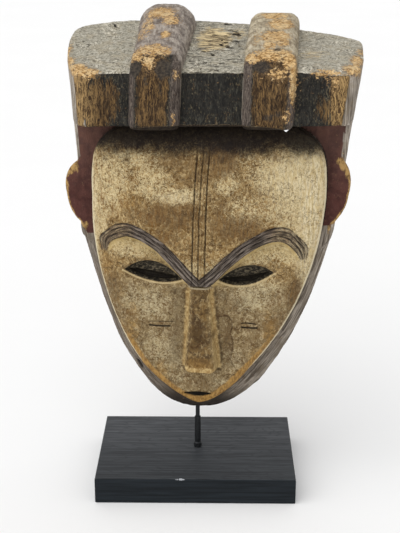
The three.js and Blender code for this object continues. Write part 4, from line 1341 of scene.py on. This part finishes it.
def crest_colour(s, worn, patch):
    """Rubbed grey paint with scratches along the crest, mauve on the left and beige on the right."""
    left = s.weight("left")
    scratches = s.noise((1.9, 30, 3.0), 4.0, 0.66, 91)
    colour = s.tones(patch, 0.36, 0.62, s.mix(left, "94876f", "70665f"), s.mix(left, "c9bca1", "a89d92"))
    colour = s.lay(colour, "5c5148", scratches, 0.53, 0.63, 0.5)
    colour = s.lay(colour, "cfc6b8", scratches, 0.46, 0.36, 0.45)
    return s.lay(colour, "564a40", worn, 0.56, 0.64, 0.5)


def bare_colour(s, colour, worn):
    """Ochre wood where the paint is rubbed off, in flecks and strokes, with a brown border."""
    weight = s.weight("bare")
    strokes = s.noise((3.4, 1.5, 2), 4.0, 0.7, 101, 0.6, turn=30)
    share = s.math("ADD", s.math("ADD", weight, s.swing(worn, 1.6)), s.swing(strokes, 1.5))
    colour = s.lay(colour, "7b6246", share, 0.2, 0.5, 0.5)
    wood = s.tones(s.noise((2.4, 1.6, 2), 4.0, 0.68, 99), 0.38, 0.6, "8f6a3a", "deb982")
    wood = s.lay(wood, "e8cfa2", s.noise(7, 3.0, 0.6, 102), 0.48, 0.6, 0.5)
    colour = s.lay(colour, wood, share, 0.42, 0.62, 0.93)
    marks = s.product(s.ramp(strokes, 0.46, 0.38), s.ramp(weight, 0.2, 0.6))
    return s.mix(s.product(marks, 0.8), colour, "503b29")


def front_colour(s, streaks, speck, patch):
    """Charred black fronts, with brown wood where they are rubbed."""
    thin = s.noise((0.9, 1.2, 9), 4.0, 0.7, 95, place=s.bent(7, 5))
    black = s.tones(thin, 0.4, 0.66, "1c1b1a", "34322d")
    black = s.lay(black, "4c4a42", s.noise((2.4, 3, 7), 4.0, 0.72, 96), 0.55, 0.64, 0.55)
    worked = s.math("MAXIMUM", s.product(s.ramp(patch, 0.46, 0.6), 0.7), s.ramp(s.weight("wood"), 0.03, 0.3))
    flecks = s.product(s.ramp(s.noise((1.3, 2, 3), 4.0, 0.74, 97), 0.55, 0.64), worked)
    black = s.mix(s.product(flecks, 0.75), black, "7a7058")
    wood = s.tones(thin, 0.4, 0.6, "2a1e16", "735a39")
    wood = s.lay(wood, "94744a", streaks, 0.55, 0.66, 0.6)
    wood = s.lay(wood, "33261a", s.noise((5, 6, 14), 5.0, 0.68, 98), 0.48, 0.6, 0.75)
    wood = s.lay(wood, "1d1611", streaks, 0.43, 0.34, 0.85)
    light_wood = s.tones(thin, 0.4, 0.6, "4a3623", "bb9a67")
    wood = s.mix(s.product(s.weight("wood_light"), 0.8), wood, light_wood)
    rubbed = s.broken(s.weight("wood"), s.noise((1.8, 3, 9), 5.0, 0.68, 13), 0.8, 0.14)
    colour = s.mix(rubbed, black, wood)
    mauve = s.product(s.weight("mauve"), s.ramp(speck, 0.2, 0.6, (0.6, 0.9)))
    return s.mix(mauve, colour, s.tones(thin, 0.4, 0.62, "3f3632", "786c62")), thin


def coiffure_colour(s, colour, streaks, speck, patch, worn):
    """The coiffure laid over the rest: roof, crests, fronts, bare wood and black patches, and its grain."""
    roof, lines = roof_colour(s, worn)
    front, thin = front_colour(s, streaks, speck, patch)
    top = s.lay(colour, roof, s.weight("roof"), 0.3, 0.7)
    top = s.mix(s.weight("crest"), top, crest_colour(s, worn, patch))
    top = s.lay(top, front, s.weight("front"), 0.3, 0.7)
    colour = s.lay(colour, top, s.weight("coiffure"), 0.35, 0.65)
    colour = bare_colour(s, colour, worn)
    black = s.tones(worn, 0.4, 0.6, "2b2826", "4a4239")
    colour = s.patches(colour, black, "black_patch", s.noise(3.4, 5.0, 0.68, 103), 0.5, 0.2, 0.9)
    return colour, s.mix_number(s.weight("roof"), thin, lines)


def mask_material():
    s = Shader("carved_wood")
    streaks = s.noise((1.1, 1.6, 26), 4.0, 0.6, 1)
    speck = s.noise(1.3, 2.0, 0.6, 4)
    patch = s.noise(9, 4.0, 0.6, 6)
    worn = s.noise(2.4, 4.0, 0.65, 8)

    colour = rim_colour(s, streaks, patch)
    colour = s.mix(s.weight("inside"), colour, inside_colour(s, streaks, patch))
    colour = s.lay(colour, board_colour(s, worn, patch), s.weight("board"), 0.3, 0.7)
    colour, grain = coiffure_colour(s, colour, streaks, speck, patch, worn)
    ear = s.tones(s.noise((2, 5, 4), 4.0, 0.65, 99), 0.36, 0.6, "6d5437", "c09c62")
    colour = s.patches(colour, ear, "ear_wear", worn, 0.5, 0.2, 0.9)

    face, fine, kaolin = face_colour(s)
    face = line_colour(s, brow_colour(s, face, fine))
    on_face = s.ramp(s.weight("face"), 0.3, 0.7)
    colour = s.mix(on_face, colour, eye_colour(s, face, fine))
    # Near black at the top of the face: sooty blackening with painted shade under the coiffure
    colour = s.patches(colour, "181517", "soot_and_shade", fine, 0.35, 0.5, 0.94)
    # Painted shade in the crevices round the face and at the feet of the crests, with the dark cracks of the
    # roof and the rim's bruise
    colour = s.lay(colour, "1d1815", s.weight("crevice_shade_and_cracks"), 0.25, 0.9, 0.9)

    rough_wood = s.math("ADD", s.product(speck, 0.5), s.product(grain, 1.1))
    height = s.mix_number(on_face, rough_wood, s.product(kaolin, 0.6))
    roughness = s.ramp(s.noise(6, 2.0, 0.5, 50), 0.3, 0.7, (0.62, 0.86))
    s.surface.inputs["Specular IOR Level"].default_value = 0.12
    return s.finish(colour, roughness, height, 0.5, 1.0)


def block_material():
    """Black stain over end grain on top, painted lighter than the sides as lit from above and lighter to the
    back as a painted sheen, with a white bruise on the front edge.
    """
    s = Shader("stained_block")
    grain = s.noise((60, 1.3, 2.2), 4.0, 0.62, 1, 0.3)
    arcs = s.math("SINE", s.math("MULTIPLY", s.noise((90, 22, 20), 2.0, 0.5, 5), 95.0))
    # The top is painted lighter than the sides, as light from above falls on it, and lighter still to the
    # back, a painted sheen
    up = s.ramp(s.split(s.node("ShaderNodeNewGeometry").outputs["Normal"])[2], 0.4, 0.8)
    side = s.tones(grain, 0.35, 0.7, "12171b", "22282d")
    far = s.ramp(s.split(s.place)[1], -60, 60)
    top = s.tones(grain, 0.36, 0.64, s.mix(far, "292b2e", "3a3c3f"), s.mix(far, "424548", "5d5f62"))
    top = s.lay(top, "26282b", arcs, 0.5, 1.0, 0.3)
    colour = s.mix(up, side, top)
    chip = tuple(a * b for a, b in zip(BLOCK_CHIP, CHIP_STRETCH))
    away = s.vector("DISTANCE", s.vector("MULTIPLY", s.place, CHIP_STRETCH)[0], chip)["Value"]
    away = s.math("ADD", away, s.product(s.noise(1.5, 2.0, 0.5, 7), 4.0))
    colour = s.mix(s.ramp(away, 3.2, 4.4, (0.85, 0.0)), colour, "b9bcc0")
    roughness = s.ramp(grain, 0.3, 0.7, (0.5, 0.66))
    s.surface.inputs["Specular IOR Level"].default_value = 0.15
    return s.finish(colour, roughness, grain, 0.15, 0.5)


def steel_material():
    s = Shader("black_steel")
    speck = s.noise(1.2, 3.0, 0.6, 1)
    s.surface.inputs["Metallic"].default_value = 0.3
    roughness = s.ramp(speck, 0.3, 0.7, (0.35, 0.55))
    return s.finish(s.tones(speck, 0.4, 0.7, "121416", "24272a"), roughness, speck, 0.2, 0.2)


def floor_material():
    s = Shader("paper_floor")
    return s.finish(s.mix(s.noise(300, 2.0), "fbfbfb", "ffffff"), 0.9)


# The scene
def add_camera():
    camera = bpy.data.cameras.new("camera")
    camera.sensor_fit = "VERTICAL"
    camera.sensor_height = SENSOR
    camera.lens = FOCAL_PIXELS / IMAGE[1] * SENSOR
    camera.clip_start = 0.01
    holder = put("camera", camera)
    holder.location = CAMERA["at"]
    holder.rotation_euler = (math.radians(90 - CAMERA["down"]), 0, math.radians(CAMERA["turn"]))
    bpy.context.scene.camera = holder


def add_light():
    """One wide soft light from the upper left, and white light from everywhere."""
    light = bpy.data.lights.new("key", "SUN")
    light.angle = math.radians(KEY["softness"])
    light.energy = KEY["strength"]
    put("key", light).rotation_euler = Vector(KEY["from"]).to_track_quat("Z", "Y").to_euler()
    world = bpy.data.worlds.new("studio")
    world.use_nodes = True
    background = world.node_tree.nodes["Background"]
    background.inputs["Color"].default_value = (1, 1, 1, 1)
    background.inputs["Strength"].default_value = SKY
    bpy.context.scene.world = world
    bpy.context.scene.view_settings.view_transform = "Standard"


def add_mask():
    mesh, points, weights = carved_mask()
    posed(mesh, points)
    for name, values in weights.items():
        layer = mesh.attributes.new(name, "FLOAT", "POINT")
        layer.data.foreach_set("value", np.asarray(values, dtype=np.float32))
    mesh.materials.append(mask_material())
    mask = put("mask_carved", mesh)
    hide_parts("mask")
    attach(mask, "root")


def add_floor():
    corners = [(x * FLOOR_REACH, y * FLOOR_REACH, 0) for x, y in ((-1, -1), (1, -1), (1, 1), (-1, 1))]
    shape = bpy.data.meshes.new("floor")
    shape.from_pydata(corners, [], [(0, 1, 2, 3)])
    shape.materials.append(floor_material())
    put("floor", shape)


def finish_stand():
    steel = steel_material()
    for name, material in (("stand_block", block_material()), ("stand_sleeve", steel), ("stand_rod", steel)):
        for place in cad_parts[name].material_slots:
            place.material = material


add_camera()
add_light()
add_mask()
add_floor()
finish_stand()
